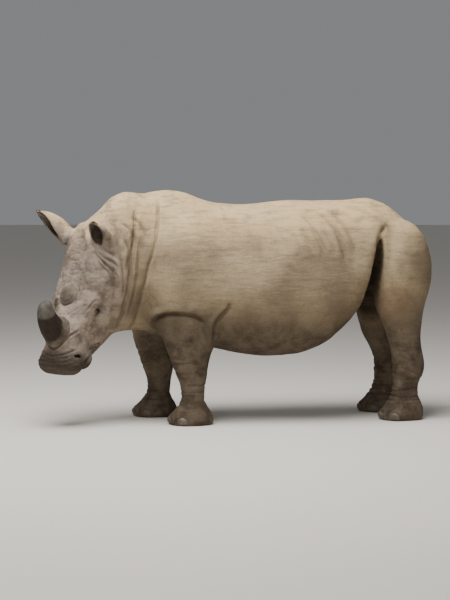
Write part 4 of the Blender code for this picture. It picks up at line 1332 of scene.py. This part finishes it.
def front_horn(sizes):
    """The trimmed stub: points and faces, then where its worn cap and its rough skirt lie."""
    def rough(share):
        return sizes.fibre * (1.0 - 0.7 * ease(0.0, 0.8, share)) * (1 - ease(0.8, 0.97, share))

    points, faces, height, back = horn(FRONT_HORN_PLACE, FRONT_HORN_LEAN, FRONT_HORN,
                                       sizes.rows, sizes.columns, rough)
    uneven = 0.02 * noise(points, 0.05, 61)
    low = height + uneven - 0.07 * np.maximum(back + 0.4, 0)
    return points, faces, {"cap": ease(0.178, 0.198, height + uneven * 0.5),
                           "skirt": 1 - ease(0.0, 0.05, low)}


def rear_horn(sizes):
    """The low mound with its steps of growth: points and faces, then its worn and rough patches."""
    def rough(share):
        return sizes.fibre * 4.0 * (1 - ease(0.6, 1.0, share))

    points, faces, _, _ = horn(REAR_HORN_PLACE, REAR_HORN_LEAN, REAR_HORN, sizes.rows // 2,
                               sizes.columns, rough, 0.15)
    patch = ease(-0.2, 0.5, noise(points, 0.06, 62))
    return points, faces, {"cap": 0.5 * patch, "skirt": 0.92 - 0.25 * patch}


def nail(name, toe, rows=13, columns=25):
    """A curved plate on the front of a toe: a grid by height and by turn about the toe, its edges
    rounded back to a second grid behind it."""
    (_, _, height), (wide, deep, tall) = TOES[toe]
    middle = toe_centre(name, toe)
    up, across = np.meshgrid(np.linspace(0, 1, rows), np.linspace(-1, 1, columns), indexing="ij")
    edge = np.maximum(np.abs(across) ** 6, np.abs(2 * up - 1) ** 8)
    top = NAIL_HEIGHT * (1 - NAIL_ARC * across * across)
    z = NAIL_RISE + (top - NAIL_RISE) * up
    reach = np.sqrt(1 - ((z - height) / tall) ** 2)
    turn = math.radians(nail_facing(toe)) + across * math.radians(NAIL_SWEEP[toe])
    number = np.full_like(up, toe)
    grain = noise(np.stack((across * 9, up * 1.5, number), axis=-1).reshape(-1, 3), 1.0, 51)
    bands = noise(np.stack((across * 0.7, up * 6, number), axis=-1).reshape(-1, 3), 1.0, 52)
    relief = (0.0006 * grain + 0.0009 * bands).reshape(z.shape)
    walls = [np.stack((middle[0] + np.sin(turn) * (wide * reach + proud),
                       middle[1] - np.cos(turn) * (deep * reach + proud), z), axis=-1)
             for proud in (NAIL_PROUD + 0.004 * (1 - edge) - 0.002 * edge + relief, -NAIL_WALL)]
    count = rows * columns
    faces = grid_faces(rows, columns, False)
    place = np.arange(count).reshape(rows, columns)
    rim = np.concatenate((place[0], place[1:, -1], place[-1, -2::-1], place[-2:0:-1, 0]))
    after = np.roll(rim, -1)
    sides = np.column_stack((after, rim, rim + count, after + count))
    faces = np.concatenate((faces, faces[:, ::-1] + count, sides))
    return np.concatenate([wall.reshape(-1, 3) for wall in walls]), faces.tolist()


# A hair: its rings of three points by share of its length, and their widths by share of its own
HAIR_LEVELS = np.array((-0.04, 0.3, 0.62, 0.86))
HAIR_TAPER = np.array((1.0, 0.85, 0.6, 0.3))
HAIR_POINTS = 3 * len(HAIR_LEVELS) + 1      # the rings, then the tip
HAIR_ENDS = np.array([(9, 10, 12), (10, 11, 12), (11, 9, 12), (2, 1, 0)])    # tip and root
PATCH = 0.003           # width and height of a hair's patch on the map OFBake


def spikes(roots, ways, lengths, width, droop):
    """Tapering three-sided hairs: each starts at its root, runs its way and droops as it goes."""
    ways = unit(ways)
    bend = np.array((0, 0, droop))
    side = unit(np.cross(ways, unit(bend + (0.13, 0.29, 0.41))))
    other = np.cross(ways, side)
    corners = np.radians((0, 120, 240))
    run = HAIR_LEVELS[None, :, None] * lengths[:, None, None]
    line = roots[:, None] + ways[:, None] * run + bend * run * np.abs(HAIR_LEVELS)[:, None]
    ring = (np.cos(corners)[:, None] * side[:, None, None]
            + np.sin(corners)[:, None] * other[:, None, None])
    rings = line[:, :, None] + ring * (HAIR_TAPER * width)[:, None, None]
    tips = roots + (ways + bend) * lengths[:, None]
    points = np.concatenate((rings.reshape(len(roots), -1, 3), tips[:, None]), axis=1)
    offset = HAIR_POINTS * np.arange(len(roots))[:, None, None]
    faces = [(part + offset).reshape(-1, part.shape[1]).tolist()
             for part in (grid_faces(len(HAIR_LEVELS), 3, True), HAIR_ENDS)]
    return points.reshape(-1, 3), faces[0] + faces[1]


def add_patches(mesh, places):
    """Lays each hair on the map OFBake as a small patch at its root's place."""
    corner = np.empty(len(mesh.loops), np.int32)
    mesh.loops.foreach_get("vertex_index", corner)
    hair, within = corner // HAIR_POINTS, corner % HAIR_POINTS
    spread = np.column_stack((within % 3 / 2, within // 3 / 4)) * PATCH
    layer = mesh.uv_layers.new(name="OFBake")
    layer.data.foreach_set("uv", (places[hair] + spread).astype(np.float32).ravel())


def add_hairs(name, hairs, width, droop):
    """A piece of many hairs, from their roots, ways, lengths and places on the map."""
    *shape, places = hairs
    points, faces = spikes(*shape, width, droop)
    made = new_piece(name, points, faces, "hide", material("Bristle"))
    add_patches(made.data, places)


def ear_hairs(name, count, length, random):
    """Hairs along the rim of an ear's roll, longest at its tip."""
    base, point, mouth, across = ear_axes(name)
    share = 0.34 + 0.66 * (1 - (1 - random.random(count)) ** 1.6)
    radius, sweep, wall = read(EAR_ROLL, share)
    sign = np.where(np.arange(count) % 2, 1, -1)
    near_tip = ease(0.90, 1.0, share)
    edge = np.radians(sweep) * (1 - near_tip * random.random(count))
    depth = (random.random(count) - 0.5) * wall * 0.7
    ahead = EAR_BEND * share * share - (radius + depth) * np.cos(edge)
    side = sign * (radius + depth) * np.sin(edge)
    rise = share * (EAR_LENGTH + EAR_ROOT) - EAR_ROOT
    roots = base + np.outer(ahead, mouth) + np.outer(side, across) + np.outer(rise, point)
    scatter = random.normal(0, 0.35, (count, 3))
    ways = (np.outer(0.35 + 1.1 * near_tip, point) + np.outer(0.30 * (1 - near_tip), mouth)
            + np.outer(sign * np.cos(edge) * -0.35, across) + scatter * 0.5)
    lengths = length * (0.45 + 0.55 * ease(0.4, 0.95, share)) * (0.6 + 0.4 * random.random(count))
    places = np.column_stack((0.25 + 0.2 * np.sin(edge) * sign, 0.05 + 0.85 * share))
    return roots, ways, lengths, places


def tail_hairs(count, length, random):
    """Bristles round the last of the tail, mostly before and behind it."""
    rows = np.array(TAIL)
    share = random.random(count) ** 1.3
    z = 0.90 - share * 0.135
    y = np.interp(-z, -rows[:, 1], rows[:, 0])
    radius = np.interp(-z, -rows[:, 1], rows[:, 2]) * 0.85
    turn = random.normal(0, 0.75, count) + np.where(np.arange(count) % 2, 0, math.pi)
    out = np.stack((np.sin(turn), np.cos(turn), np.zeros(count)), axis=1)
    roots = np.stack((np.zeros(count), y, z), axis=1) + out * radius[:, None]
    ways = out * 0.22 + (0, 0.02, -1) + random.normal(0, 0.07, (count, 3))
    lengths = length * (0.45 + 0.55 * share) * (0.7 + 0.3 * random.random(count))
    places = np.column_stack(((turn / (2 * math.pi)) % 1 * 0.9 + 0.05, 0.05 + 0.85 * share))
    return roots, ways, lengths, places


def lashes(side, count, length, random):
    """A row of hairs along the upper lid's rim."""
    middle, ahead, up, out = eye_frame(side)
    share = np.linspace(-0.85, 0.85, count) + random.normal(0, 0.02, count)
    across = share * LID_LONG
    rise = LID_UP * (1 - np.abs(share) ** LID_POWER) ** (1 / LID_POWER) * 1.12
    rise = rise + LID_DROOP * across / LID_LONG
    height = np.sqrt(np.maximum(LID_BALL ** 2 - across ** 2 - rise ** 2, 0)) + 0.0005
    roots = (middle + np.outer(across, ahead) + np.outer(rise, up) + np.outer(height, out))
    ways = np.outer(share * 0.4, ahead) + 0.25 * up + out + random.normal(0, 0.06, (count, 3))
    lengths = length * (1 - 0.35 * np.abs(share)) * (0.8 + 0.2 * random.random(count))
    places = np.column_stack((0.1 + 0.4 * (share + 1), np.full(count, 0.5)))
    return roots, ways, lengths, places


# ---- Shaders -------------------------------------------------------------------------------


def linear(red, green, blue):
    """A colour as it looks, 0 to 255, as the shader's linear numbers."""
    share = np.array((red, green, blue)) / 255
    return (*np.where(share > 0.04045, ((share + 0.055) / 1.055) ** 2.4, share / 12.92), 1.0)


def node(tree, kind, inputs=(), **settings):
    """A new node with its settings made, its inputs set to numbers or joined to outputs."""
    made = tree.nodes.new(kind)
    for key, value in settings.items():
        setattr(made, key, value)
    for key, value in dict(inputs).items():
        if isinstance(value, bpy.types.NodeSocket):
            tree.links.new(value, made.inputs[key])
        else:
            made.inputs[key].default_value = value
    return made


def join(tree, target, sockets):
    """Joins each result to the node's input of that name."""
    for key, socket in sockets.items():
        tree.links.new(socket, target.inputs[key])


def times(tree, first, second):
    return node(tree, "ShaderNodeMath", {0: first, 1: second}, operation="MULTIPLY").outputs[0]


def added(tree, first, second):
    return node(tree, "ShaderNodeMath", {0: first, 1: second}, operation="ADD").outputs[0]


def mixed(tree, share, first, second):
    """One colour laid over another by a share."""
    inputs = {0: share, 6: first, 7: second}
    return node(tree, "ShaderNodeMix", inputs, data_type="RGBA").outputs[2]


def crossfade(tree, share, first, second):
    """One number passing into another by a share."""
    return node(tree, "ShaderNodeMix", {0: share, 2: first, 3: second}).outputs[0]


def laid_over(tree, colour, layers):
    """A colour with others laid on it in turn: each by a mask, the most it covers, and itself."""
    for mask, most, over in layers:
        colour = mixed(tree, times(tree, mask, most), colour, over)
    return colour


def weighed(tree, *terms):
    """The sum of values, each times its weight."""
    total = times(tree, *terms[0])
    for value, weight in terms[1:]:
        total = added(tree, total, times(tree, value, weight))
    return total


def cloud(tree, place, scale, detail=4.0, roughness=0.55, stretch=(1, 1, 1)):
    """Noise by place, from 0 to 1, its blots stretched as the scales say."""
    moved = node(tree, "ShaderNodeMapping", {"Vector": place, "Scale": stretch})
    inputs = {"Vector": moved.outputs[0], "Scale": scale, "Detail": detail, "Roughness": roughness}
    return node(tree, "ShaderNodeTexNoise", inputs).outputs[0]


def band(tree, value, low, high):
    """0 below low, 1 above high, eased between."""
    inputs = {0: value, 1: low, 2: high}
    return node(tree, "ShaderNodeMapRange", inputs, interpolation_type="SMOOTHSTEP").outputs[0]


def new_group(name, inputs, outputs):
    """An empty shader group: the tree, its inputs by name, and the node that its results join."""
    tree = bpy.data.node_groups.new(name, "ShaderNodeTree")
    for way, sockets in (("INPUT", inputs), ("OUTPUT", outputs)):
        for key, kind in sockets.items():
            tree.interface.new_socket(key, in_out=way, socket_type=kind)
    return tree, tree.nodes.new("NodeGroupInput").outputs, tree.nodes.new("NodeGroupOutput")


VALUE, COLOUR, VECTOR = "NodeSocketFloat", "NodeSocketColor", "NodeSocketVector"
HIDE_LOOKS = ("fold", "dark", "head", "leg", "above", "below", "stain", "muzzle", "neck")


def hide_colour_group(colours):
    """Dusty grey-tan hide: greyer on the head and legs; paler above, by dust that is also a painted top
    light; painted shade in folds, hollows and underneath.
    """
    inputs = {"Place": VECTOR, **dict.fromkeys(HIDE_LOOKS, VALUE)}
    tree, given, result = new_group("Hide colour", inputs, {"Colour": COLOUR, "Roughness": VALUE})
    place = given["Place"]
    broad = cloud(tree, place, 2.2, 5)
    patch = cloud(tree, place, 9, 6, 0.62)
    fine = cloud(tree, place, 70, 5, 0.6)
    level = cloud(tree, place, 5, 6, 0.65, (1, 1, 7))
    blots = band(tree, patch, 0.35, 0.68)
    # dust on the faces turned up, which also paints the light from above onto the back
    dust_and_light_mask = times(tree, given["above"], band(tree, patch, 0.15, 0.62))
    stained = times(tree, given["stain"], added(tree, 0.15, patch))
    cracked = times(tree, cracks(tree, place), band(tree, patch, 0.42, 0.62))
    body = mixed(tree, band(tree, broad, 0.36, 0.66), colours.body_dark, colours.body_pale)
    colour = laid_over(tree, body, (
        (given["head"], 1.0, mixed(tree, blots, colours.head_dark, colours.head_pale)),
        (given["leg"], 1.0, mixed(tree, blots, colours.leg_dark, colours.leg_pale)),
        (given["muzzle"], 0.9, colours.muzzle),
        # painted shade under the body and in the groin
        (given["below"], 0.7, colours.belly),
        # dust, also a painted light on the back
        (dust_and_light_mask, 0.95, colours.dust_and_top_light),
        (stained, 0.65, linear(112, 80, 50)),
        (band(tree, level, 0.48, 0.70), 0.45, linear(104, 88, 67)),     # level streaks
        (band(tree, fine, 0.50, 0.85), 0.12, linear(196, 180, 150)),    # pale spots
        (band(tree, fine, 0.45, 0.25), 0.40, linear(80, 67, 52)),       # dark specks
        (cracked, 0.30, linear(74, 62, 48)),
        # painted shade in the grooves of folds and rings and in the toe clefts
        (given["fold"], 0.68, linear(52, 42, 31)),
        # painted shade in ear cups, eye openings, nostrils, round the stub and in the thigh gaps
        (given["dark"], 0.95, linear(20, 15, 12)),
    ))
    join(tree, result, {"Colour": colour,
                        "Roughness": added(tree, 0.80, times(tree, patch, 0.16))})
    return tree


def cracks(tree, place):
    """The net of fine lines between the plates of the hide, 1 on a line, at three sizes."""
    warp = node(tree, "ShaderNodeTexNoise", {"Vector": place, "Scale": 18.0, "Detail": 3.0})
    moved = node(tree, "ShaderNodeVectorMath", {0: warp.outputs[1], 1: (0.05, 0.05, 0.05)},
                 operation="MULTIPLY")
    bent = node(tree, "ShaderNodeVectorMath", {0: place, 1: moved.outputs[0]}, operation="ADD")
    lines = []
    for scale, width in ((30.0, 0.05), (60.0, 0.09), (130.0, 0.12)):
        cells = node(tree, "ShaderNodeTexVoronoi", {"Vector": bent.outputs[0], "Scale": scale},
                     feature="DISTANCE_TO_EDGE")
        lines.append(band(tree, cells.outputs[0], width, 0.0))
    total = lines[0]
    for line in lines[1:]:
        inputs = {0: times(tree, total, 0.8), 1: line}
        total = node(tree, "ShaderNodeMath", inputs, operation="MAXIMUM").outputs[0]
    return total


def hide_relief_group():
    """Height of the hide's finest grain: wrinkles, level on the flank, upright on the neck and
    even on the head, with cracks between small plates, and pores."""
    inputs = {"Place": VECTOR, "neck": VALUE, "head": VALUE}
    tree, given, result = new_group("Hide relief", inputs, {"Height": VALUE})
    place = given["Place"]
    level = cloud(tree, place, 10, 6, 0.62, (1, 1, 6))
    upright = cloud(tree, place, 34, 5, 0.6, (1, 1, 0.22))
    plain = cloud(tree, place, 30, 6, 0.68)
    wrinkles = crossfade(tree, given["neck"], level, upright)
    wrinkles = crossfade(tree, given["head"], wrinkles, plain)
    pores = cloud(tree, place, 160, 3)
    height = weighed(tree, (cracks(tree, place), -0.35), (wrinkles, 2.6), (plain, 0.8), (pores, 0.35))
    join(tree, result, {"Height": height})
    return tree


def horn_colour_group(colours):
    """Fibrous horn: dark brown, paler and greyer where it is worn, streaked along its fibres."""
    tree, given, result = new_group("Horn colour", {"Place": VECTOR, "Cap": VALUE, "Skirt": VALUE},
                                    {"Colour": COLOUR, "Roughness": VALUE, "Height": VALUE})
    place = given["Place"]
    fibres = cloud(tree, place, 60, 4, 0.6, (1, 1, 0.18))
    patch = cloud(tree, place, 11, 5, 0.6)
    streaks = band(tree, fibres, 0.3, 0.7)
    worn = mixed(tree, streaks, linear(66, 61, 55), colours.horn_worn)
    skirt = mixed(tree, band(tree, patch, 0.35, 0.65), linear(92, 81, 68), colours.horn_skirt)
    colour = laid_over(tree, mixed(tree, streaks, colours.horn_dark, colours.horn_pale), (
        (band(tree, patch, 0.45, 0.7), 0.5, linear(38, 25, 16)),
        (given["Cap"], 1.0, worn),
        (given["Skirt"], 1.0, skirt),
    ))
    plates = times(tree, cracks(tree, place), given["Skirt"])
    join(tree, result, {"Colour": colour,
                        "Roughness": added(tree, 0.62, times(tree, patch, 0.25)),
                        "Height": weighed(tree, (fibres, 1.0), (patch, 0.9), (plates, -0.8))})
    return tree


def new_material(name, base, roughness, **settings):
    """A material of one Principled shader: its node tree and that shader."""
    made = bpy.data.materials.new(name)
    made.use_nodes = True
    made.diffuse_color = base
    shader = made.node_tree.nodes["Principled BSDF"]
    for key, value in {"Base Color": base, "Roughness": roughness, **settings}.items():
        shader.inputs[key].default_value = value
    return made, made.node_tree, shader


def object_place(tree):
    return node(tree, "ShaderNodeTexCoord").outputs["Object"]


def read_layer(tree, name):
    return node(tree, "ShaderNodeAttribute", attribute_name=name).outputs["Fac"]


def bump(tree, height, distance):
    """A normal tilted by a height, which is this many metres deep."""
    inputs = {"Height": height, "Distance": distance, "Strength": 1.0}
    return node(tree, "ShaderNodeBump", inputs).outputs[0]


def hide_material(colours):
    """Dry hide, its colours and grain by the looks that each vertex holds."""
    made, tree, shader = new_material("Hide", linear(150, 137, 115), 0.88,
                                      **{"Specular IOR Level": 0.25})
    place = object_place(tree)
    layers = {name: read_layer(tree, name) for name in HIDE_LOOKS}
    colour = node(tree, "ShaderNodeGroup", node_tree=hide_colour_group(colours))
    relief = node(tree, "ShaderNodeGroup", node_tree=hide_relief_group())
    join(tree, colour, {"Place": place, **layers})
    join(tree, relief, {"Place": place, "neck": layers["neck"], "head": layers["head"]})
    join(tree, shader, {"Base Color": colour.outputs["Colour"],
                        "Roughness": colour.outputs["Roughness"],
                        "Normal": bump(tree, relief.outputs["Height"], 0.0030)})
    return made


def horn_material(colours):
    """Dull horn, its fibres turned to run up the front stub."""
    made, tree, shader = new_material("Horn", linear(84, 70, 58), 0.7,
                                      **{"Specular IOR Level": 0.3})
    rotation = (-HEAD_PITCH + 0.5, 0.0, HEAD_YAW)
    turned = node(tree, "ShaderNodeMapping", {"Vector": object_place(tree), "Rotation": rotation})
    group = node(tree, "ShaderNodeGroup", node_tree=horn_colour_group(colours))
    join(tree, group, {"Place": turned.outputs[0], "Cap": read_layer(tree, "cap"),
                       "Skirt": read_layer(tree, "skirt")})
    join(tree, shader, {"Base Color": group.outputs["Colour"],
                        "Roughness": group.outputs["Roughness"],
                        "Normal": bump(tree, group.outputs["Height"], 0.0022)})
    return made


def nail_material(colours):
    """Dusty nail, streaked down its height."""
    made, tree, shader = new_material("Nail", linear(112, 102, 90), 0.6)
    place = object_place(tree)
    streaks = cloud(tree, place, 90, 4, 0.6, (1, 1, 0.3))
    worn = band(tree, cloud(tree, place, 22, 4), 0.5, 0.75)
    colour = mixed(tree, streaks, colours.nail_dark, colours.nail_pale)
    colour = mixed(tree, worn, colour, linear(104, 92, 76))
    join(tree, shader, {"Base Color": colour, "Normal": bump(tree, streaks, 0.0008)})
    return made


def eye_material(colours):
    """Dark wet brown: a black pupil, a brown iris, and the dull white beyond its edge."""
    made, tree, shader = new_material("Eye", linear(34, 22, 15), 0.12,
                                      **{"Coat Weight": 0.9, "Coat Roughness": 0.04})
    gaze = read_layer(tree, "gaze")
    ring = cloud(tree, object_place(tree), 260, 3)
    iris = mixed(tree, ring, colours.iris_dark, colours.iris_pale)
    colour = mixed(tree, band(tree, gaze, 0.22, 0.27), linear(5, 4, 4), iris)
    colour = mixed(tree, band(tree, gaze, 0.50, 0.56), colour, linear(16, 10, 8))
    colour = mixed(tree, band(tree, gaze, 0.60, 0.72), colour, linear(92, 74, 62))
    join(tree, shader, {"Base Color": colour})
    return made


def hair_material(colours):
    """Bristles and lashes, nearly black."""
    made, tree, shader = new_material("Bristle", linear(38, 31, 26), 0.55)
    patch = cloud(tree, object_place(tree), 120, 3)
    join(tree, shader, {"Base Color": mixed(tree, patch, colours.hair_dark, colours.hair_pale)})
    return made


def material(name):
    """The material of this name, made the first time it is asked for."""
    found = bpy.data.materials.get(name)
    return found or MATERIALS[name](bpy.context.scene.rhino_colours)


MATERIALS = {"Hide": hide_material, "Horn": horn_material, "Nail": nail_material,
             "Eye": eye_material, "Bristle": hair_material}

# ---- The add-on: sizes, an operator for each piece, and a panel -----------------------------

FLESH_NODES = (
    "head", "lower_jaw", "neck", "trunk_shoulders", "trunk_barrel", "trunk_rump", "tail",
    "ear_left", "ear_right", *(f"{part}_{leg}" for part in ("leg", "foot") for leg in LEG_LINES),
)


def length_setting(name, description, default, most, least=0.0):
    """A length that a user may change, in metres."""
    return bpy.props.FloatProperty(name=name, description=description, default=default, min=least,
                                   max=most, precision=4, subtype="DISTANCE", unit="LENGTH")


def count_setting(name, description, default, most, least=0):
    return bpy.props.IntProperty(name=name, description=description, default=default, min=least,
                                 max=most)


def colour_setting(name, description, red, green, blue):
    """A colour that a user may change, given as it looks, 0 to 255."""
    return bpy.props.FloatVectorProperty(name=name, description=description, subtype="COLOR",
                                         size=4, min=0.0, max=1.0,
                                         default=linear(red, green, blue))


class RhinoSkinSettings(bpy.types.PropertyGroup):
    step: length_setting("Net Step", "Size of the net's cells far from the head", 0.0115, 0.05, 0.008)
    rounds: count_setting("Settling Rounds", "How often the net is eased and put back on the flesh", 2, 6)
    strength: bpy.props.FloatProperty(
        name="Fold Strength", description="How much of their full depth the folds have",
        default=1.0, min=0.0, max=1.5, subtype="FACTOR")
    triangles: count_setting("Triangles", "How many triangles the skin is thinned to", 196000,
                             199000, 20000)


class RhinoHornSettings(bpy.types.PropertyGroup):
    rows: count_setting("Rings", "Rings of points up a horn", 110, 240, 12)
    columns: count_setting("Points Round", "Points in each ring", 168, 360, 16)
    fibre: length_setting("Fibre Height", "How far fibres stand out at the front horn's root", 0.0022, 0.01)


class RhinoHairSettings(bpy.types.PropertyGroup):
    seed: count_setting("Seed", "Which scatter of hairs is drawn", 7, 9999)
    ear_count: count_setting("Ear Hairs", "Hairs along the rim of one ear", 900, 5000)
    ear_length: length_setting("Ear Hair Length", "Longest hair of the ears' rims", 0.020, 0.05)
    tail_count: count_setting("Tail Bristles", "Bristles at the end of the tail", 420, 5000)
    tail_length: length_setting("Tail Bristle Length", "Longest bristle of the tail", 0.10, 0.2)
    lash_count: count_setting("Lashes", "Lashes of one upper lid", 34, 200)
    lash_length: length_setting("Lash Length", "Longest lash", 0.013, 0.03)


class RhinoColourSettings(bpy.types.PropertyGroup):
    body_dark: colour_setting("Body, Dark", "Darker blots of the trunk's hide", 128, 112, 89)
    body_pale: colour_setting("Body, Pale", "Paler blots of the trunk's hide", 172, 153, 121)
    head_dark: colour_setting("Head, Dark", "Darker blots of the head's hide", 112, 99, 88)
    head_pale: colour_setting("Head, Pale", "Paler blots of the head's hide", 176, 160, 144)
    leg_dark: colour_setting("Legs, Dark", "Darker blots of the legs' hide", 78, 67, 54)
    leg_pale: colour_setting("Legs, Pale", "Paler blots of the legs' hide", 138, 123, 104)
    muzzle: colour_setting("Muzzle", "The bare end of the muzzle", 50, 42, 36)
    # the colour of the painted shade under the belly and in the groin
    belly: colour_setting("Belly", "The dark of the belly and the groin", 48, 36, 25)
    # dust on the back, and a painted light from above
    dust_and_top_light: colour_setting("Dust", "Dry dust on the back", 222, 190, 142)
    horn_dark: colour_setting("Horn, Dark", "Darker fibres of the horns", 26, 17, 11)
    horn_pale: colour_setting("Horn, Pale", "Paler fibres of the horns", 48, 33, 22)
    horn_worn: colour_setting("Horn, Worn", "Paler fibres of the worn cap", 88, 82, 74)
    horn_skirt: colour_setting("Horn, Skirt", "Paler blots of the rough skin round a horn", 130, 117, 101)
    nail_dark: colour_setting("Nails, Dark", "Darker streaks of the nails", 60, 52, 43)
    nail_pale: colour_setting("Nails, Pale", "Paler streaks of the nails", 92, 82, 69)
    iris_dark: colour_setting("Iris, Dark", "Darker blots of the iris", 46, 28, 17)
    iris_pale: colour_setting("Iris, Pale", "Paler blots of the iris", 88, 56, 32)
    hair_dark: colour_setting("Bristles, Dark", "Darker blots of bristles and lashes", 26, 21, 18)
    hair_pale: colour_setting("Bristles, Pale", "Paler blots of bristles and lashes", 62, 51, 42)
    floor: colour_setting("Floor", "The pale floor", 214, 208, 198)


class RhinoStageSettings(bpy.types.PropertyGroup):
    floor: length_setting("Floor Radius", "Radius of the pale floor", 40.0, 200.0, 5.0)
    sky: bpy.props.FloatProperty(
        name="Sky", description="Strength of the even light from all round", default=0.27,
        min=0.0, max=5.0)
    key: bpy.props.FloatProperty(
        name="Key Light", description="Power of the soft light above", default=960.0, min=0.0,
        unit="POWER")


class RHINO_OT_skin(bpy.types.Operator):
    """Make the one skin that replaces every node of flesh"""
    bl_idname = "rhino.skin"
    bl_label = "Make Skin"
    bl_options = {"REGISTER", "UNDO"}

    def execute(self, context):
        sizes = context.scene.rhino_skin
        mesh = skin_mesh(sizes.step, sizes.rounds, sizes.strength)
        move_to(mesh, points_of(mesh) + SHIFT)
        made = finish_piece("skin", mesh, material("Hide"), FLESH_NODES)
        thin(made, sizes.triangles)
        smooth(made.data)
        add_looks(made.data, looks_of_skin(points_of(made.data) - SHIFT, normals_of(made.data)))
        return {"FINISHED"}


class RHINO_OT_eyes(bpy.types.Operator):
    """Make both eyeballs, looking out between the lids"""
    bl_idname = "rhino.eyes"
    bl_label = "Make Eyes"
    bl_options = {"REGISTER", "UNDO"}

    def execute(self, context):
        for name, side in SIDES:
            points, faces, gaze = eyeball(side)
            made = new_piece(f"eyeball_{name}", points, faces, "eye", material("Eye"),
                             (f"eye_{name}",))
            add_looks(made.data, {"gaze": gaze})
        return {"FINISHED"}


class RHINO_OT_horns(bpy.types.Operator):
    """Make the trimmed front horn and the rear horn's low mound"""
    bl_idname = "rhino.horns"
    bl_label = "Make Horns"
    bl_options = {"REGISTER", "UNDO"}

    def execute(self, context):
        for name, shape in (("front", front_horn), ("rear", rear_horn)):
            points, faces, looks = shape(context.scene.rhino_horn)
            made = new_piece(f"{name}_horn", points, faces, "horn", material("Horn"),
                             (f"horn_{name}",))
            add_looks(made.data, looks)
        return {"FINISHED"}


class RHINO_OT_nails(bpy.types.Operator):
    """Make the three nails of each foot"""
    bl_idname = "rhino.nails"
    bl_label = "Make Nails"
    bl_options = {"REGISTER", "UNDO"}

    def execute(self, context):
        for leg_name, toe in itertools.product(LEG_LINES, range(len(TOES))):
            place = f"{leg_name}_{toe + 1}"
            new_piece(f"toenail_{place}", *nail(leg_name, toe), "nail", material("Nail"),
                      (f"nail_{place}",))
        return {"FINISHED"}


class RHINO_OT_hairs(bpy.types.Operator):
    """Make the fringes of the ears, the bristles of the tail and the lashes of the upper lids"""
    bl_idname = "rhino.hairs"
    bl_label = "Make Bristles and Lashes"
    bl_options = {"REGISTER", "UNDO"}

    def execute(self, context):
        sizes = context.scene.rhino_hair
        ears, end, lids = (np.random.default_rng(sizes.seed + step) for step in range(3))
        for name in EARS:
            add_hairs(f"fringe_{name}", ear_hairs(name, sizes.ear_count, sizes.ear_length, ears),
                      *FRINGE)
        add_hairs("bristles_tail", tail_hairs(sizes.tail_count, sizes.tail_length, end), *BRISTLES)
        for name, side in SIDES:
            add_hairs(f"lashes_{name}", lashes(side, sizes.lash_count, sizes.lash_length, lids),
                      *LASHES)
        return {"FINISHED"}


def look_at(made, place, aim):
    """Puts a light or the camera at a place, turned towards another."""
    made.location = place
    way = Vector(aim) - Vector(place)
    made.rotation_euler = way.to_track_quat("-Z", "Y").to_euler()


def add_floor(radius, shade):
    """A round pale floor at z = 0."""
    turn = np.linspace(0, 2 * math.pi, FLOOR_SIDES, endpoint=False)
    ring = np.stack((np.cos(turn), np.sin(turn), 0 * turn), axis=1) * radius
    floor = linked("floor", mesh_of("floor", ring.tolist(), [range(FLOOR_SIDES)]))
    floor.data.materials.append(new_material("Floor", tuple(shade), 0.9)[0])


def add_sky(scene, strength):
    """An even light from all round."""
    scene.world = scene.world or bpy.data.worlds.new("Sky")
    scene.world.use_nodes = True
    sky = scene.world.node_tree.nodes["Background"]
    sky.inputs["Color"].default_value = linear(236, 238, 242)
    sky.inputs["Strength"].default_value = strength


def add_lamp(name, power, place):
    """A square soft light turned to the model."""
    light = bpy.data.lights.new(name, "AREA")
    light.energy, light.size = power, LIGHT_SIZE
    lamp = linked(name, light)
    look_at(lamp, place, LIGHT_AIM)


def add_camera(scene):
    """The camera, beside the animal and a little ahead of its middle."""
    camera = linked("camera", bpy.data.cameras.new("camera"))
    camera.data.sensor_width, camera.data.lens = 36.0, CAMERA_LENS
    look_at(camera, CAMERA_PLACE, CAMERA_AIM)
    scene.camera = camera


class RHINO_OT_stage(bpy.types.Operator):
    """Make the pale floor, the sky, the soft lights and the camera"""
    bl_idname = "rhino.stage"
    bl_label = "Make Stage"
    bl_options = {"REGISTER", "UNDO"}

    def execute(self, context):
        sizes = context.scene.rhino_stage
        add_floor(sizes.floor, context.scene.rhino_colours.floor)
        add_sky(context.scene, sizes.sky)
        for name, share, place in LIGHTS:
            add_lamp(name, sizes.key * share, place)
        add_camera(context.scene)
        return {"FINISHED"}


class RHINO_PT_panel(bpy.types.Panel):
    """Every step of the model, in the order it is made"""
    bl_idname = "RHINO_PT_panel"
    bl_label = "White Rhinoceros"
    bl_space_type = "VIEW_3D"
    bl_region_type = "UI"
    bl_category = "Rhinoceros"

    def draw(self, context):
        for maker in MAKERS:
            self.layout.operator(maker.bl_idname)


MAKERS = (RHINO_OT_skin, RHINO_OT_eyes, RHINO_OT_horns, RHINO_OT_nails, RHINO_OT_hairs,
          RHINO_OT_stage)
SETTINGS = {"rhino_skin": RhinoSkinSettings, "rhino_horn": RhinoHornSettings,
            "rhino_hair": RhinoHairSettings, "rhino_colours": RhinoColourSettings,
            "rhino_stage": RhinoStageSettings}


def register():
    for kind in (*SETTINGS.values(), *MAKERS, RHINO_PT_panel):
        bpy.utils.register_class(kind)
    for name, kind in SETTINGS.items():
        setattr(bpy.types.Scene, name, bpy.props.PointerProperty(type=kind))


def unregister():
    for name in SETTINGS:
        delattr(bpy.types.Scene, name)
    for kind in (RHINO_PT_panel, *reversed(MAKERS), *reversed(SETTINGS.values())):
        bpy.utils.unregister_class(kind)


def main():
    register()
    for maker in MAKERS:
        group, name = maker.bl_idname.split(".")
        getattr(getattr(bpy.ops, group), name)()


if __name__ == "__main__":
    main()
